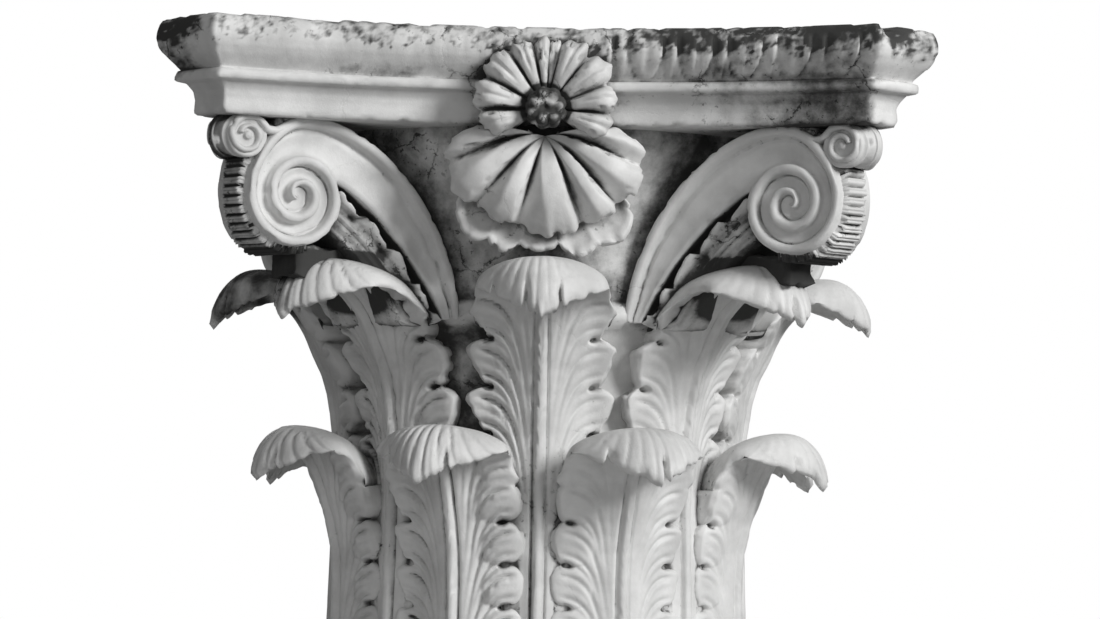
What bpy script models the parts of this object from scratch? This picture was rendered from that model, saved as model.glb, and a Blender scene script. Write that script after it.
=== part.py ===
"""A Corinthian capital carved from one block of stone, as one solid.

Lengths are in modules (40 modules are the diameter of the shaft below) until a mesh is finished,
which scales them to metres. Azimuth 0 is the front, -Y, and 90 is the right side, +X.
"""

import math

import bmesh
import bpy
from mathutils import Matrix, Vector

# Driving dimensions
SHAFT_DIAMETER = 0.60
MODULE = SHAFT_DIAMETER / 40

FOOT_HEIGHT = 1.2
BELL_HEIGHT = 49.0
ABACUS_HEIGHT = 9.0
SIDES = 4
LEAVES = 8
LEAF_PITCH = 360 / LEAVES
KEPT_FACES = 0.56  # share of the union's triangles kept: it leaves slivers where the carvings cross
BURIED = 0.4  # how far a carved part runs into what carries it

# Radius and height of the bell and its collar, from the bed up
BELL_PROFILE = (
    (20.0, 0.0),
    (20.0, FOOT_HEIGHT),
    (18.3, FOOT_HEIGHT + 0.6),
    (18.0, 12.0),
    (18.4, 22.0),
    (20.0, 30.4),
    (21.4, 30.8),
    (21.4, 32.2),
    (20.5, 32.7),
    (21.3, 39.0),
    (23.4, 45.0),
    (24.8, 47.6),
    (24.8, BELL_HEIGHT + BURIED),
)
BELL_STEPS = 24

# The abacus: half its side at the chamfered corner, and how far its concave side falls back there
HORN_INNER = 29.6
HORN_OUTER = 32.6
SIDE_CENTRE = 25.5
SIDE_STEPS = 8
# How far the chamfered corner widens, and moves out, for each module that a moulding projects
HORN_WIDENING = 0.27
HORN_ADVANCE = 1 + math.sin(math.radians(18)) * 0.5
# Height above the abacus's underside and projection beyond it: cavetto, fillet, then ovolo
ABACUS_PROFILE = (
    (0.0, 0.0),
    (1.4, 0.05),
    (2.9, 0.75),
    (3.15, 1.7),
    (3.9, 1.75),
    (4.1, 1.15),
    (5.4, 2.5),
    (6.9, 3.25),
    (8.3, 3.15),
    (ABACUS_HEIGHT, 2.6),
)


def blend(start, end, share):
    return start + (end - start) * share


def around(radius, height, azimuth):
    """The point at this radius and height, in the direction of this azimuth in degrees."""
    angle = math.radians(azimuth)
    return Vector((radius * math.sin(angle), -radius * math.cos(angle), height))


def turn(azimuth):
    """The rotation that carries the front to this azimuth."""
    return Matrix.Rotation(math.radians(azimuth), 4, "Z")


def woven(rows, columns, place):
    """A new bmesh: a grid of rows by columns of faces, with each point where place(row, column) puts it."""
    bm = bmesh.new()
    bmesh.ops.create_grid(bm, x_segments=columns, y_segments=rows, size=0.5)
    for vertex in bm.verts:
        row = round((vertex.co.y + 0.5) * rows)
        column = round((vertex.co.x + 0.5) * columns)
        vertex.co = place(row, column)
    return bm


def joined(parts):
    """One bmesh that holds all of parts, which are freed."""
    bm = bmesh.new()
    for part in parts:
        mesh = bpy.data.meshes.new("part")
        part.to_mesh(mesh)
        part.free()
        bm.from_mesh(mesh)
        bpy.data.meshes.remove(mesh)
    return bm


def close(bm):
    """Welds the seams, fills the open ends and turns the faces outwards."""
    bmesh.ops.remove_doubles(bm, verts=bm.verts, dist=1e-3)
    bmesh.ops.dissolve_degenerate(bm, edges=bm.edges, dist=1e-3)
    open_edges = [edge for edge in bm.edges if edge.is_boundary]
    bmesh.ops.holes_fill(bm, edges=open_edges)
    bmesh.ops.triangulate(bm, faces=bm.faces)
    bmesh.ops.recalc_face_normals(bm, faces=bm.faces)
    if bm.calc_volume(signed=True) < 0:
        bmesh.ops.reverse_faces(bm, faces=bm.faces)
    return bm


# Leaves ---------------------------------------------------------------------------------------

VEIN_RISE = 7.5  # how far a vein climbs on its way from the midrib to the leaf's edge
NOTCH_DEPTH = 0.32  # share of the half width that a notch between two lobes takes away
LOBE_TIP = 0.6  # where the tip of a lobe stands between its two notches
MIDRIB = 0.45
GROOVE = 0.45
ROOT = 3.2  # how far behind its face a leaf reaches into the bell
HOOD_THICKNESS = 1.5
HOOD_THINNING = 0.4  # share of its thickness that a hood loses at its two sides
HOOD_FULLNESS = 1.15  # how far the curve from neck to crown is from an ellipse, which is 1
HOOD_ROOT_DROP = 2.0  # how far below the neck the hood's top springs from the bell
CROWN_FALL = 2.2  # how far the crown falls, and sets back, from its middle to its sides
EDGE_SETBACK = 6.0  # how far the hanging edge sets back from its tip to its sides
EDGE_RISE = 2.2  # and how far it rises
EDGE_NICK = (0.0, 0.3, 1.1)  # how far a groove cuts into the hanging edge
FACE_SHARES = (-1.0, -0.5, 0.0, 0.5, 1.0)  # distances across the leaf, on its face
TOP_SHARES = (1.0, 0.75, 0.5, 0.25, 0.0, -0.25, -0.5, -0.75, -1.0)  # and on its hood, rib and groove
HOOD_STEPS = 2  # rows up to the crown, and again down to the edge


class Leaf:
    """An acanthus leaf: a lobed stem that hugs the bell, then a hood that rolls out and hangs to a tip.

    Places are (radius, height) on the leaf's middle line. Its own share runs across it, from -1 to 1.
    """

    def __init__(self, foot, foot_width, neck, crown, tip, half_width, hood_width, lobe_pitch, lobes):
        self.foot = foot
        self.foot_width = foot_width
        self.neck = neck
        self.crown = crown
        self.tip = tip
        self.half_width = half_width
        self.hood_width = hood_width
        self.veins = [(foot[1], False)]  # each vein's height at the edge, and whether a lobe ends there
        for lobe in range(lobes, 0, -1):
            notch = neck[1] - lobe_pitch * lobe
            self.veins += [(notch, False), (notch + LOBE_TIP * lobe_pitch, True)]
        self.veins.append((neck[1], False))

    def stem(self, share, vein, full, depth):
        """A point of the stem on this vein, this deep behind its face."""
        out = abs(share)
        height = max(self.foot[1], vein - VEIN_RISE * (1 - math.sqrt(1 - (1 - out) ** 2)))
        climbed = (height - self.foot[1]) / (self.neck[1] - self.foot[1])
        radius = blend(self.foot[0], self.neck[0], climbed**3) - depth
        width = self.half_width * (1 if full else 1 - NOTCH_DEPTH)
        across = share * (width if vein > self.foot[1] else self.foot_width)
        angle = across / self.neck[0]
        return Vector((radius * math.sin(angle), -radius * math.cos(angle), height))

    def stem_relief(self, share, full):
        """How far the stem's face stands out at its midrib, and between it and the edge."""
        if share == 0:
            return MIDRIB
        crest = GROOVE if full else -GROOVE
        return crest if abs(share) < 1 else crest / 2

    def hood(self, share, along, top):
        """A point of the hood: along runs from 0 at the neck, past 1 at the crown, to 2 at the edge.

        The stem's face runs on as the hood's underside. The hood's top springs from within the bell.
        """
        out = abs(share)
        grooved = round(4 * out) % 2
        width = share * self.hood_width
        fall = CROWN_FALL * out**2
        crown = Vector((width, fall - self.crown[0], self.crown[1] - fall))
        curl = out**1.5
        edge = Vector((width, EDGE_SETBACK * curl - self.tip[0], self.tip[1] + EDGE_RISE * curl))
        edge += Vector(EDGE_NICK) * grooved
        if top:
            start = self.stem(share, self.neck[1], False, ROOT)
            start.z = self.neck[1] - HOOD_ROOT_DROP
            crown.z -= GROOVE * grooved
        else:
            start = self.stem(share, self.neck[1], False, 0)
            crown.z -= HOOD_THICKNESS * (1 - HOOD_THINNING * out)
        angle = math.pi / 2 * (along if along < 1 else along - 1)
        if along < 1:
            forth, up = 1 - math.cos(angle) ** HOOD_FULLNESS, math.sin(angle) ** HOOD_FULLNESS
            return self.part_way(start, crown, forth, up)
        return self.part_way(crown, edge, math.sin(angle), 1 - math.cos(angle))

    @staticmethod
    def part_way(start, end, forth, up):
        """Part of the way from start to end: forth is the share of the way out, up that of the climb."""
        return Vector((blend(start.x, end.x, forth), blend(start.y, end.y, forth), blend(start.z, end.z, up)))


LOWER_LEAF = Leaf(
    foot=(20.2, 0.0),
    foot_width=5.0,
    neck=(20.6, 15.2),
    crown=(25.6, 20.9),
    tip=(30.4, 15.4),
    half_width=6.9,
    hood_width=6.8,
    lobe_pitch=4.2,
    lobes=3,
)
UPPER_LEAF = Leaf(
    foot=(19.2, 0.0),
    foot_width=3.0,
    neck=(20.9, 31.0),
    crown=(28.2, 36.6),
    tip=(33.3, 30.7),
    half_width=7.3,
    hood_width=6.3,
    lobe_pitch=4.5,
    lobes=4,
)
CORNER_LEAF = Leaf(  # the upper leaves under the volutes reach further out
    foot=(19.2, 0.0),
    foot_width=3.0,
    neck=(20.9, 31.0),
    crown=(29.6, 36.6),
    tip=(35.0, 30.7),
    half_width=7.3,
    hood_width=6.5,
    lobe_pitch=4.5,
    lobes=4,
)


def leaf_mesh(leaf, azimuth, lowest):
    """One leaf as a closed mesh, cut off level at its lowest height."""
    ring = FACE_SHARES + TOP_SHARES
    back_share = 0.5  # the stem's back is half as wide as its face
    stem_rows = len(leaf.veins)

    def place(row, column):
        column %= len(ring)
        share = ring[column]
        top = column >= len(FACE_SHARES)
        if row >= stem_rows:
            return leaf.hood(share, (row - stem_rows + 1) / HOOD_STEPS, top)
        vein, full = leaf.veins[row]
        if top:
            return leaf.stem(math.copysign(back_share, share) if share else 0, vein, False, ROOT)
        return leaf.stem(share, vein, full, -leaf.stem_relief(share, full))

    bm = woven(stem_rows + 2 * HOOD_STEPS - 1, len(ring), place)
    bmesh.ops.remove_doubles(bm, verts=bm.verts, dist=1e-3)
    if leaf.foot[1] < lowest:
        bmesh.ops.bisect_plane(
            bm,
            geom=bm.verts[:] + bm.edges[:] + bm.faces[:],
            dist=1e-4,
            plane_co=(0, 0, lowest),
            plane_no=(0, 0, -1),
            clear_outer=True,
        )
    bmesh.ops.transform(bm, matrix=turn(azimuth), verts=bm.verts)
    return close(bm)


# Bell and abacus ------------------------------------------------------------------------------


def bell_mesh():
    """The bell, with the ring at its foot and the collar that the volutes spring from."""
    bm = bmesh.new()
    line = [bm.verts.new((radius, 0, height)) for radius, height in BELL_PROFILE]
    edges = [bm.edges.new(pair) for pair in zip(line, line[1:])]
    bmesh.ops.spin(
        bm,
        geom=line + edges,
        cent=(0, 0, 0),
        axis=(0, 0, 1),
        angle=math.tau,
        steps=BELL_STEPS,
        use_merge=True,
    )
    return close(bm)


def abacus_corner(projection):
    """Half the side, and the depth, of the chamfered corner for a moulding that projects this far."""
    return HORN_INNER + HORN_WIDENING * projection, HORN_OUTER + HORN_ADVANCE * projection


def abacus_outline(projection, steps):
    """The abacus's outline, from its front left corner round, as (x, y) points."""
    inner, outer = abacus_corner(projection)
    centre = SIDE_CENTRE + projection
    sagitta = outer - centre
    radius = (inner**2 + sagitta**2) / (2 * sagitta)
    half_angle = math.asin(inner / radius)
    side = []
    for k in range(steps + 1):
        angle = blend(-half_angle, half_angle, k / steps)
        side.append((radius * math.sin(angle), -(centre + radius * (1 - math.cos(angle)))))
    outline = []
    for quarter in range(SIDES):
        rotation = Matrix.Rotation(math.tau / SIDES * quarter, 2)
        outline += [rotation @ Vector(point) for point in side]
    return outline


def abacus_mesh():
    outlines = [abacus_outline(projection, SIDE_STEPS) for _, projection in ABACUS_PROFILE]
    count = len(outlines[0])

    def place(row, column):
        point = outlines[row][column % count]
        return Vector((*point, BELL_HEIGHT + ABACUS_PROFILE[row][0]))

    return close(woven(len(outlines) - 1, count, place))


# Volutes --------------------------------------------------------------------------------------

VOLUTE_CENTRE = (22.65, 28.0)  # to the right, and to the front, of the axis
VOLUTE_HEIGHT = 41.9
VOLUTE_YAW = 29.0  # between the volute's face and the capital's side
EYE_RADIUS = 0.6
SCROLL_RADIUS = 5.95
SCROLL_PITCH = 2.2
ARCH_LIFT, ARCH_SPREAD = 1.5, 38.0  # the band stands higher where it arches over the scroll
SCROLL_START = -10.7  # degrees from the top of the scroll, towards the corner
SCROLL_STEP = 30.0
SCROLL_STEPS = 29
CROTCH_STEP = 10  # the step of the scroll where the band's lower edge meets it
BAND_STEPS = 10
RIM_WIDTH = 0.85
RIM_SHARE = 0.4  # the most of the band's width that its rim takes
CHANNEL_DEPTH = 0.7
BAND_FOOT_OUTER = (17.1, -11.0)
BAND_FOOT_INNER = (15.6, -11.0)
BAND_OUTER_FULLNESS = 1.75  # how far each edge of the free band is from an ellipse, which is 2
BAND_INNER_FULLNESS = 1.3
FREE_SHARE = 0.72  # share of the outer edge's climb that is done where the lower edge meets the scroll
# The slender leaf under the band: distance below the band's edge, and depth, of the shadowed gap,
# of the leaf's lobed edge and of its keel
GAP = (0.5, 2.6)
CALYX_EDGE = (1.1, 1.3)
CALYX_LOBE = 0.8
CALYX_KEEL = 4.0
CALYX_WAY = Vector((-0.75, -0.66))  # the way the slender leaf spreads from the band
CALYX_TAPER = 5  # how soon it reaches its full width from either end


def scroll_angle(step):
    return SCROLL_START + SCROLL_STEP * step


def scroll_point(step):
    """The outer edge of the scroll: distance towards the bell, and up, from the scroll's eye."""
    angle = scroll_angle(step)
    lift = ARCH_LIFT * math.exp(-(((angle - SCROLL_START) / ARCH_SPREAD) ** 2))
    radius = max(EYE_RADIUS, SCROLL_RADIUS - SCROLL_PITCH * angle / 360 + lift)
    return Vector((-radius * math.sin(math.radians(angle)), radius * math.cos(math.radians(angle))))


def quarter_round(foot, head, power, share):
    """A point on the rounded line that climbs from foot, upright, and arrives at head, level."""
    angle = math.pi / 2 * share
    along = math.cos(angle) ** (2 / power)
    up = math.sin(angle) ** (2 / power)
    return Vector((head[0] + (foot[0] - head[0]) * along, foot[1] + (head[1] - foot[1]) * up))


def volute_space(point, depth):
    """The place in space of a point of the front right volute's face, at this depth behind it."""
    yaw = math.radians(VOLUTE_YAW)
    right = VOLUTE_CENTRE[0] - point.x * math.cos(yaw) + depth * math.sin(yaw)
    front = VOLUTE_CENTRE[1] - point.x * math.sin(yaw) - depth * math.cos(yaw)
    return Vector((right, -front, VOLUTE_HEIGHT + point.y))


def on_diagonal(place):
    """The point halfway to this one's mirror image in the capital's diagonal."""
    middle = (place.x - place.y) / 2
    return Vector((middle, -middle, place.z))


def band_section(outer, inner):
    """Points across the band, from its outer edge to its inner one: foot and crest of the rim, channel."""
    inward = (inner - outer).normalized()
    rim = min(RIM_WIDTH, (inner - outer).length * RIM_SHARE)
    return [
        volute_space(outer, CHANNEL_DEPTH),
        volute_space(outer, 0),
        volute_space(outer + inward * rim, 0),
        volute_space(inner, CHANNEL_DEPTH),
    ]


def mirrored(bm):
    """Adds the mirror image in the capital's diagonal, which swaps the front and the right side."""
    swap = Matrix(((0, -1, 0, 0), (-1, 0, 0, 0), (0, 0, 1, 0), (0, 0, 0, 1)))
    copy = bmesh.ops.duplicate(bm, geom=bm.verts[:] + bm.edges[:] + bm.faces[:])
    copied = [item for item in copy["geom"] if isinstance(item, bmesh.types.BMVert)]
    bmesh.ops.transform(bm, matrix=swap, verts=copied)
    return bm


def volute_mesh():
    """The two volutes of the front right corner, with the bolster between them, as one solid."""
    last = SCROLL_STEPS
    turn_steps = round(360 / SCROLL_STEP)
    eye = Vector((0, 0))

    def inner_of(step):
        return scroll_point(step + turn_steps) if step + turn_steps <= last else eye

    def free_band(row, column):
        share = row / BAND_STEPS
        outer = quarter_round(BAND_FOOT_OUTER, scroll_point(0), BAND_OUTER_FULLNESS, share * FREE_SHARE)
        inner = quarter_round(BAND_FOOT_INNER, scroll_point(CROTCH_STEP), BAND_INNER_FULLNESS, share)
        points = band_section(outer, inner)
        swell = min(1, CALYX_TAPER * share * (1 - share))
        down = CALYX_WAY * swell
        lobe = CALYX_LOBE * (row % 2)
        for below, depth in (GAP, (CALYX_EDGE[0] - lobe / 2, CALYX_EDGE[1] - lobe)):
            points.append(volute_space(inner + down * below, blend(CHANNEL_DEPTH, depth, swell)))
        points.append(on_diagonal(volute_space(inner + down * CALYX_KEEL, CHANNEL_DEPTH)))
        return [on_diagonal(points[0]), *points][column]

    def arch(row, column):
        steps = turn_steps - CROTCH_STEP
        share = blend(FREE_SHARE, 1, row / steps)
        outer = quarter_round(BAND_FOOT_OUTER, scroll_point(0), BAND_OUTER_FULLNESS, share)
        points = band_section(outer, scroll_point(CROTCH_STEP + row))
        return [on_diagonal(points[0]), *points][column]

    def first_turn(row, column):
        points = band_section(scroll_point(row), inner_of(row))
        return [on_diagonal(points[0]), *points][column]

    def inner_turns(row, column):
        step = CROTCH_STEP + row
        return band_section(scroll_point(step), inner_of(step))[column]

    half = joined(
        [
            woven(BAND_STEPS, 7, free_band),
            woven(turn_steps - CROTCH_STEP, 4, arch),
            woven(CROTCH_STEP, 4, first_turn),
            woven(last - CROTCH_STEP, 3, inner_turns),
        ]
    )
    return close(mirrored(half))


SMALL_SCROLL_CENTRE = Vector((-5.4, 5.25))
SMALL_SCROLL_RADIUS = 2.15
SMALL_SCROLL_SIDES = 10
# Share of its radius and depth of its waist, rim, rim again, channel and eye
SMALL_SCROLL_RINGS = ((0.85, 0.6), (1.0, 0.0), (0.72, 0.0), (0.55, 0.5), (0.0, 0.2))


def small_scroll_mesh():
    """The little scroll that buds off the band above the volute, through to its twin."""

    def place(row, column):
        if row == 0:
            return on_diagonal(place(1, column))
        share, depth = SMALL_SCROLL_RINGS[row - 1]
        angle = math.tau * column / SMALL_SCROLL_SIDES
        arm = Vector((math.cos(angle), math.sin(angle))) * SMALL_SCROLL_RADIUS * share
        return volute_space(SMALL_SCROLL_CENTRE + arm, depth)

    return close(mirrored(woven(len(SMALL_SCROLL_RINGS), SMALL_SCROLL_SIDES, place)))


# Ornaments at the middle of each side -----------------------------------------------------------

FOLD_NICK = 0.12  # share of the radius by which a fold sets back the edge of a fan
PALMETTE_CENTRE = 48.8
PALMETTE_BACK = 19.0  # how near the axis the hanging leaves reach
PALMETTE_RADIUS = 10.0
UNDER_RADIUS, UNDER_DROP = 9.0, 3.4  # the second tier hangs lower in the middle than at its sides
FLOWER_CENTRE = 50.3
FLOWER_BACK = 25.0
FLOWER_RADIUS = 6.8
BOSS_RADIUS = 1.95
BOSS_PLACE = (0, -30.4, 50.2)


def fan_mesh(centre, back, lobes, spread, rings, edge, lift):
    """A fan of lobes about centre, at the front: each ring is (radius share, front, fold depth).

    edge(angle) is the fan's radius in a direction, in degrees from straight down or, where lift
    is -1, from straight up.
    """
    steps = 2 * lobes
    loop = len(rings) + 2
    back_centre = 0.1  # share of the radius at which the fan's back ends

    def place(row, column):
        angle = blend(-spread, spread, row / steps)
        column %= loop
        fold = (row + 1) % 2
        nick = FOLD_NICK * fold
        if column < len(rings):
            share, front, depth = rings[column]
            front -= depth * fold
            share *= 1 - nick * share
        elif column == len(rings):
            share, front = rings[-1][0] * (1 - nick), back
        else:
            share, front = back_centre, back
        radius = edge(angle) * share
        radians = math.radians(angle)
        return Vector((radius * math.sin(radians), -front, centre - lift * radius * math.cos(radians)))

    return close(woven(steps, loop, place))


def palmette_mesh():
    """The shell-like leaf that hangs below the abacus."""
    rings = ((0.08, 26.6, 0.0), (0.4, 29.6, 0.8), (0.8, 29.3, 1.3), (1.0, 27.2, 1.0))
    return fan_mesh(PALMETTE_CENTRE, PALMETTE_BACK, 7, 98, rings, lambda angle: PALMETTE_RADIUS, 1)


def under_palmette_mesh():
    """The second tier of the hanging leaf, behind and below the first."""
    rings = ((0.3, 24.0, 0.0), (0.8, 25.6, 0.5), (1.0, 26.6, 0.6))

    def edge(angle):
        return UNDER_RADIUS + UNDER_DROP * math.cos(math.radians(angle)) ** 0.5

    return fan_mesh(PALMETTE_CENTRE, PALMETTE_BACK, 5, 72, rings, edge, 1)


def flower_mesh():
    """The flower on the abacus: petals that fan upwards from the boss."""
    rings = ((0.2, 29.6, 0.0), (0.62, 31.4, 0.9), (1.0, 30.9, 0.7))
    return fan_mesh(FLOWER_CENTRE, FLOWER_BACK, 9, 122, rings, lambda angle: FLOWER_RADIUS, -1)


def boss_mesh():
    bm = bmesh.new()
    bmesh.ops.create_uvsphere(bm, u_segments=10, v_segments=6, radius=BOSS_RADIUS)
    bmesh.ops.transform(bm, matrix=Matrix.Rotation(math.pi / 2, 4, "X"), verts=bm.verts)
    bmesh.ops.translate(bm, vec=BOSS_PLACE, verts=bm.verts)
    return close(bm)


# The capital ----------------------------------------------------------------------------------


def clear_scene():
    for obj in list(bpy.data.objects):
        bpy.data.objects.remove(obj)


def stone():
    material = bpy.data.materials.new("weathered_marble")
    material.use_nodes = True
    shader = material.node_tree.nodes["Principled BSDF"]
    shader.inputs["Base Color"].default_value = (0.55, 0.55, 0.54, 1)
    shader.inputs["Roughness"].default_value = 0.6
    shader.inputs["Metallic"].default_value = 0.0
    return material


def as_object(name, bm, collection):
    """An object from this bmesh, scaled from modules to metres."""
    bmesh.ops.scale(bm, vec=(MODULE,) * 3, verts=bm.verts)
    mesh = bpy.data.meshes.new(name)
    bm.to_mesh(mesh)
    bm.free()
    obj = bpy.data.objects.new(name, mesh)
    collection.objects.link(obj)
    return obj


def carving_meshes():
    """Every carved part that the bell carries, each as (name, bmesh)."""
    yield "abacus", abacus_mesh()
    for k in range(LEAVES):
        yield f"lower_leaf_{k}", leaf_mesh(LOWER_LEAF, LEAF_PITCH * (k + 0.5), FOOT_HEIGHT / 2)
        upper = CORNER_LEAF if k % 2 else UPPER_LEAF
        yield f"upper_leaf_{k}", leaf_mesh(upper, LEAF_PITCH * k, FOOT_HEIGHT / 2)
    side_parts = {
        "volutes": volute_mesh,
        "small_scrolls": small_scroll_mesh,
        "palmette": palmette_mesh,
        "under_palmette": under_palmette_mesh,
        "flower": flower_mesh,
        "boss": boss_mesh,
    }
    for k in range(SIDES):
        for name, make in side_parts.items():
            bm = make()
            bmesh.ops.transform(bm, matrix=turn(360 / SIDES * k), verts=bm.verts)
            yield f"{name}_{k}", bm


def main():
    clear_scene()
    root = bpy.context.scene.collection
    carving = bpy.data.collections.new("carving")
    root.children.link(carving)
    for name, bm in carving_meshes():
        part = as_object(name, bm, carving)
        part.hide_render = True
        part.display_type = "WIRE"
    capital = as_object("capital", bell_mesh(), root)
    union = capital.modifiers.new("carving", "BOOLEAN")
    union.operation = "UNION"
    union.solver = "EXACT"
    union.operand_type = "COLLECTION"
    union.collection = carving
    thinned = capital.modifiers.new("slivers_out", "DECIMATE")
    thinned.ratio = KEPT_FACES
    capital.data.materials.append(stone())
    capital.data.shade_smooth()
    capital.data.set_sharp_from_angle(angle=math.radians(35))


main()
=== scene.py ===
"""Finished look of a Corinthian capital carved from one block of weathered marble.

Lengths are in modules, as stonecutters count them: 58 modules are the capital's height, and 40 are
the diameter of the shaft below it. Azimuth 0 is the front, -Y, and 90 is the right side, +X.
"""

import math
from dataclasses import dataclass, replace

import bmesh
import bpy
import numpy as np
from mathutils import Matrix, Vector, noise
from mathutils.bvhtree import BVHTree


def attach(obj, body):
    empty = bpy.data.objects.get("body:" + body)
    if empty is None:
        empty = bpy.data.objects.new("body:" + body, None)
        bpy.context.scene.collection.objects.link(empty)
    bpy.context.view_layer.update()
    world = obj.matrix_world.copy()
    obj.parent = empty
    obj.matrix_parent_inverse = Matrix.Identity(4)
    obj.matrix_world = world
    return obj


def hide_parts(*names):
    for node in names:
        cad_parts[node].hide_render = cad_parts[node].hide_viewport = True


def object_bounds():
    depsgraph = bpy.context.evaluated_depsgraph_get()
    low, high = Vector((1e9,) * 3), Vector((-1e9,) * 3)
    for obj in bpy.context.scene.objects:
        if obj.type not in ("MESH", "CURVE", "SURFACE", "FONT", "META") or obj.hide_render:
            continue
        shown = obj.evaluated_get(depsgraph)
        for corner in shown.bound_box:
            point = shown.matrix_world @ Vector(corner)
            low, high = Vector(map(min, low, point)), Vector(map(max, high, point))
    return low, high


bl_info = {
    "name": "Corinthian capital",
    "version": (1, 0, 0),
    "blender": (4, 5, 0),
    "location": "3D View > Sidebar > Capital",
    "description": "Carves and weathers a marble Corinthian capital",
    "category": "Object",
}

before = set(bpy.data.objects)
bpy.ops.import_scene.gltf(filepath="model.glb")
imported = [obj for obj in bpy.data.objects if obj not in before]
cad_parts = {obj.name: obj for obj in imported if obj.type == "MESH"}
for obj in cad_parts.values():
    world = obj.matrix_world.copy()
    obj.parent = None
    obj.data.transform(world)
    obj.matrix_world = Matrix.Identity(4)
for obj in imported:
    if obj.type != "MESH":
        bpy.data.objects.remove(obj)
CAD_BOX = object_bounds()
BLOCK = "capital"
MODULES_HIGH = 58
MODULE = (CAD_BOX[1][2] - CAD_BOX[0][2]) / MODULES_HIGH
SIDES = 4
BELL_HEIGHT = 49.0
BURIED = 0.4  # how far the bell reaches into the abacus


# ---- Small mathematics ----


def blend(start, end, share):
    return start + (end - start) * share


def limited(value):
    """The value, or 0 or 1 where it's beyond them."""
    return np.clip(value, 0, 1)


def dome(value):
    """How high a half circle of radius 1 stands at this distance from its middle."""
    return np.sqrt(limited(1 - value**2))


def smooth(low, high, value):
    """0 at low, 1 at high, and a smooth rise between them; low may be above high."""
    share = limited((value - low) / (high - low))
    return share * share * (3 - 2 * share)


def mound(centre, width, value):
    """A smooth mound of height 1 over centre."""
    return np.exp(-(((value - centre) / width) ** 2))


def nearest(period, value):
    """Signed distance to the nearest whole multiple of period, as a share of it, -0.5 to 0.5."""
    return (value / period + 0.5) % 1 - 0.5


def along_table(table, value):
    """Each column after the first of a table, read off at value in its first column, on a smooth curve."""
    table = np.array(table, float)
    at = table[:, 0]
    step = np.clip(np.searchsorted(at, value, side="right") - 1, 0, len(at) - 2)
    span = at[step + 1] - at[step]
    share = limited((value - at[step]) / span)
    columns = []
    for column in table.T[1:]:
        rise = np.diff(column) / np.diff(at)
        before, after = np.concatenate([rise[:1], rise]), np.concatenate([rise, rise[-1:]])
        level = before * after <= 0  # a high or low point of the table is one of the curve's as well
        slope = np.where(level, 0, 2 * before * after / np.where(level, 1, before + after))
        slope[0], slope[-1] = rise[0], rise[-1]
        a, b = column[step], column[step + 1]
        bend = share * (1 - share) * span
        middle = share * share * (3 - 2 * share)
        curve = blend(a, b, middle) + bend * ((1 - share) * slope[step] - share * slope[step + 1])
        columns.append(curve)
    return columns


def stacked(x, y, z):
    return np.stack(np.broadcast_arrays(x, y, z), axis=-1)


def ruffle(points, grain, seed):
    """Smooth noise from about -1 to 1 at each point; grain is the size of its lumps in modules."""
    shift = Vector((17.3 * seed, -9.1 * seed, 5.7 * seed))
    return np.array([noise.noise(Vector(point) / grain + shift) for point in points])


# ---- Meshes ----


def read(mesh, name="co"):
    """The places of the mesh's vertices, or their normals, a row for each."""
    values = np.empty(3 * len(mesh.vertices))
    mesh.vertices.foreach_get(name, values)
    return values.reshape(-1, 3)


def woven(rows, columns, place):
    """A grid of rows by columns of faces; place(row, column) gives points from shares of 0 to 1."""
    bm = bmesh.new()
    bmesh.ops.create_grid(bm, x_segments=columns, y_segments=rows, size=0.5)
    mesh = bpy.data.meshes.new("grid")
    bm.to_mesh(mesh)
    flat = read(mesh) + 0.5
    row = np.round(flat[:, 1] * rows) / rows
    column = np.round(flat[:, 0] * columns) / columns
    mesh.vertices.foreach_set("co", place(row, column).ravel())
    bm.clear()
    bm.from_mesh(mesh)
    bpy.data.meshes.remove(mesh)
    return bm


def joined(parts):
    """One bmesh that holds all of parts, which are freed."""
    bm = bmesh.new()
    mesh = bpy.data.meshes.new("part")
    for part in parts:
        part.to_mesh(mesh)
        part.free()
        bm.from_mesh(mesh)
    bpy.data.meshes.remove(mesh)
    return bm


def closed(bm):
    """Welds the seams, fills the openings and turns the faces outwards."""
    bmesh.ops.remove_doubles(bm, verts=bm.verts, dist=2e-3)
    bmesh.ops.dissolve_degenerate(bm, edges=bm.edges, dist=1e-3)
    bmesh.ops.holes_fill(bm, edges=[edge for edge in bm.edges if edge.is_boundary])
    bmesh.ops.triangulate(bm, faces=[face for face in bm.faces if len(face.verts) > 4])
    bmesh.ops.recalc_face_normals(bm, faces=bm.faces)
    if bm.calc_volume(signed=True) < 0:
        bmesh.ops.reverse_faces(bm, faces=bm.faces)
    return bm


def swung(bm, azimuth):
    matrix = Matrix.Rotation(math.radians(azimuth), 4, "Z")
    bmesh.ops.transform(bm, matrix=matrix, verts=bm.verts)
    return bm


def mirrored(bm):
    """Adds the mirror image in the diagonal, which swaps the front and the right side."""
    swap = Matrix(((0, -1, 0, 0), (-1, 0, 0, 0), (0, 0, 1, 0), (0, 0, 0, 1)))
    copy = bmesh.ops.duplicate(bm, geom=bm.verts[:] + bm.edges[:] + bm.faces[:])
    copied = [item for item in copy["geom"] if isinstance(item, bmesh.types.BMVert)]
    bmesh.ops.transform(bm, matrix=swap, verts=copied)
    return bm


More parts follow.
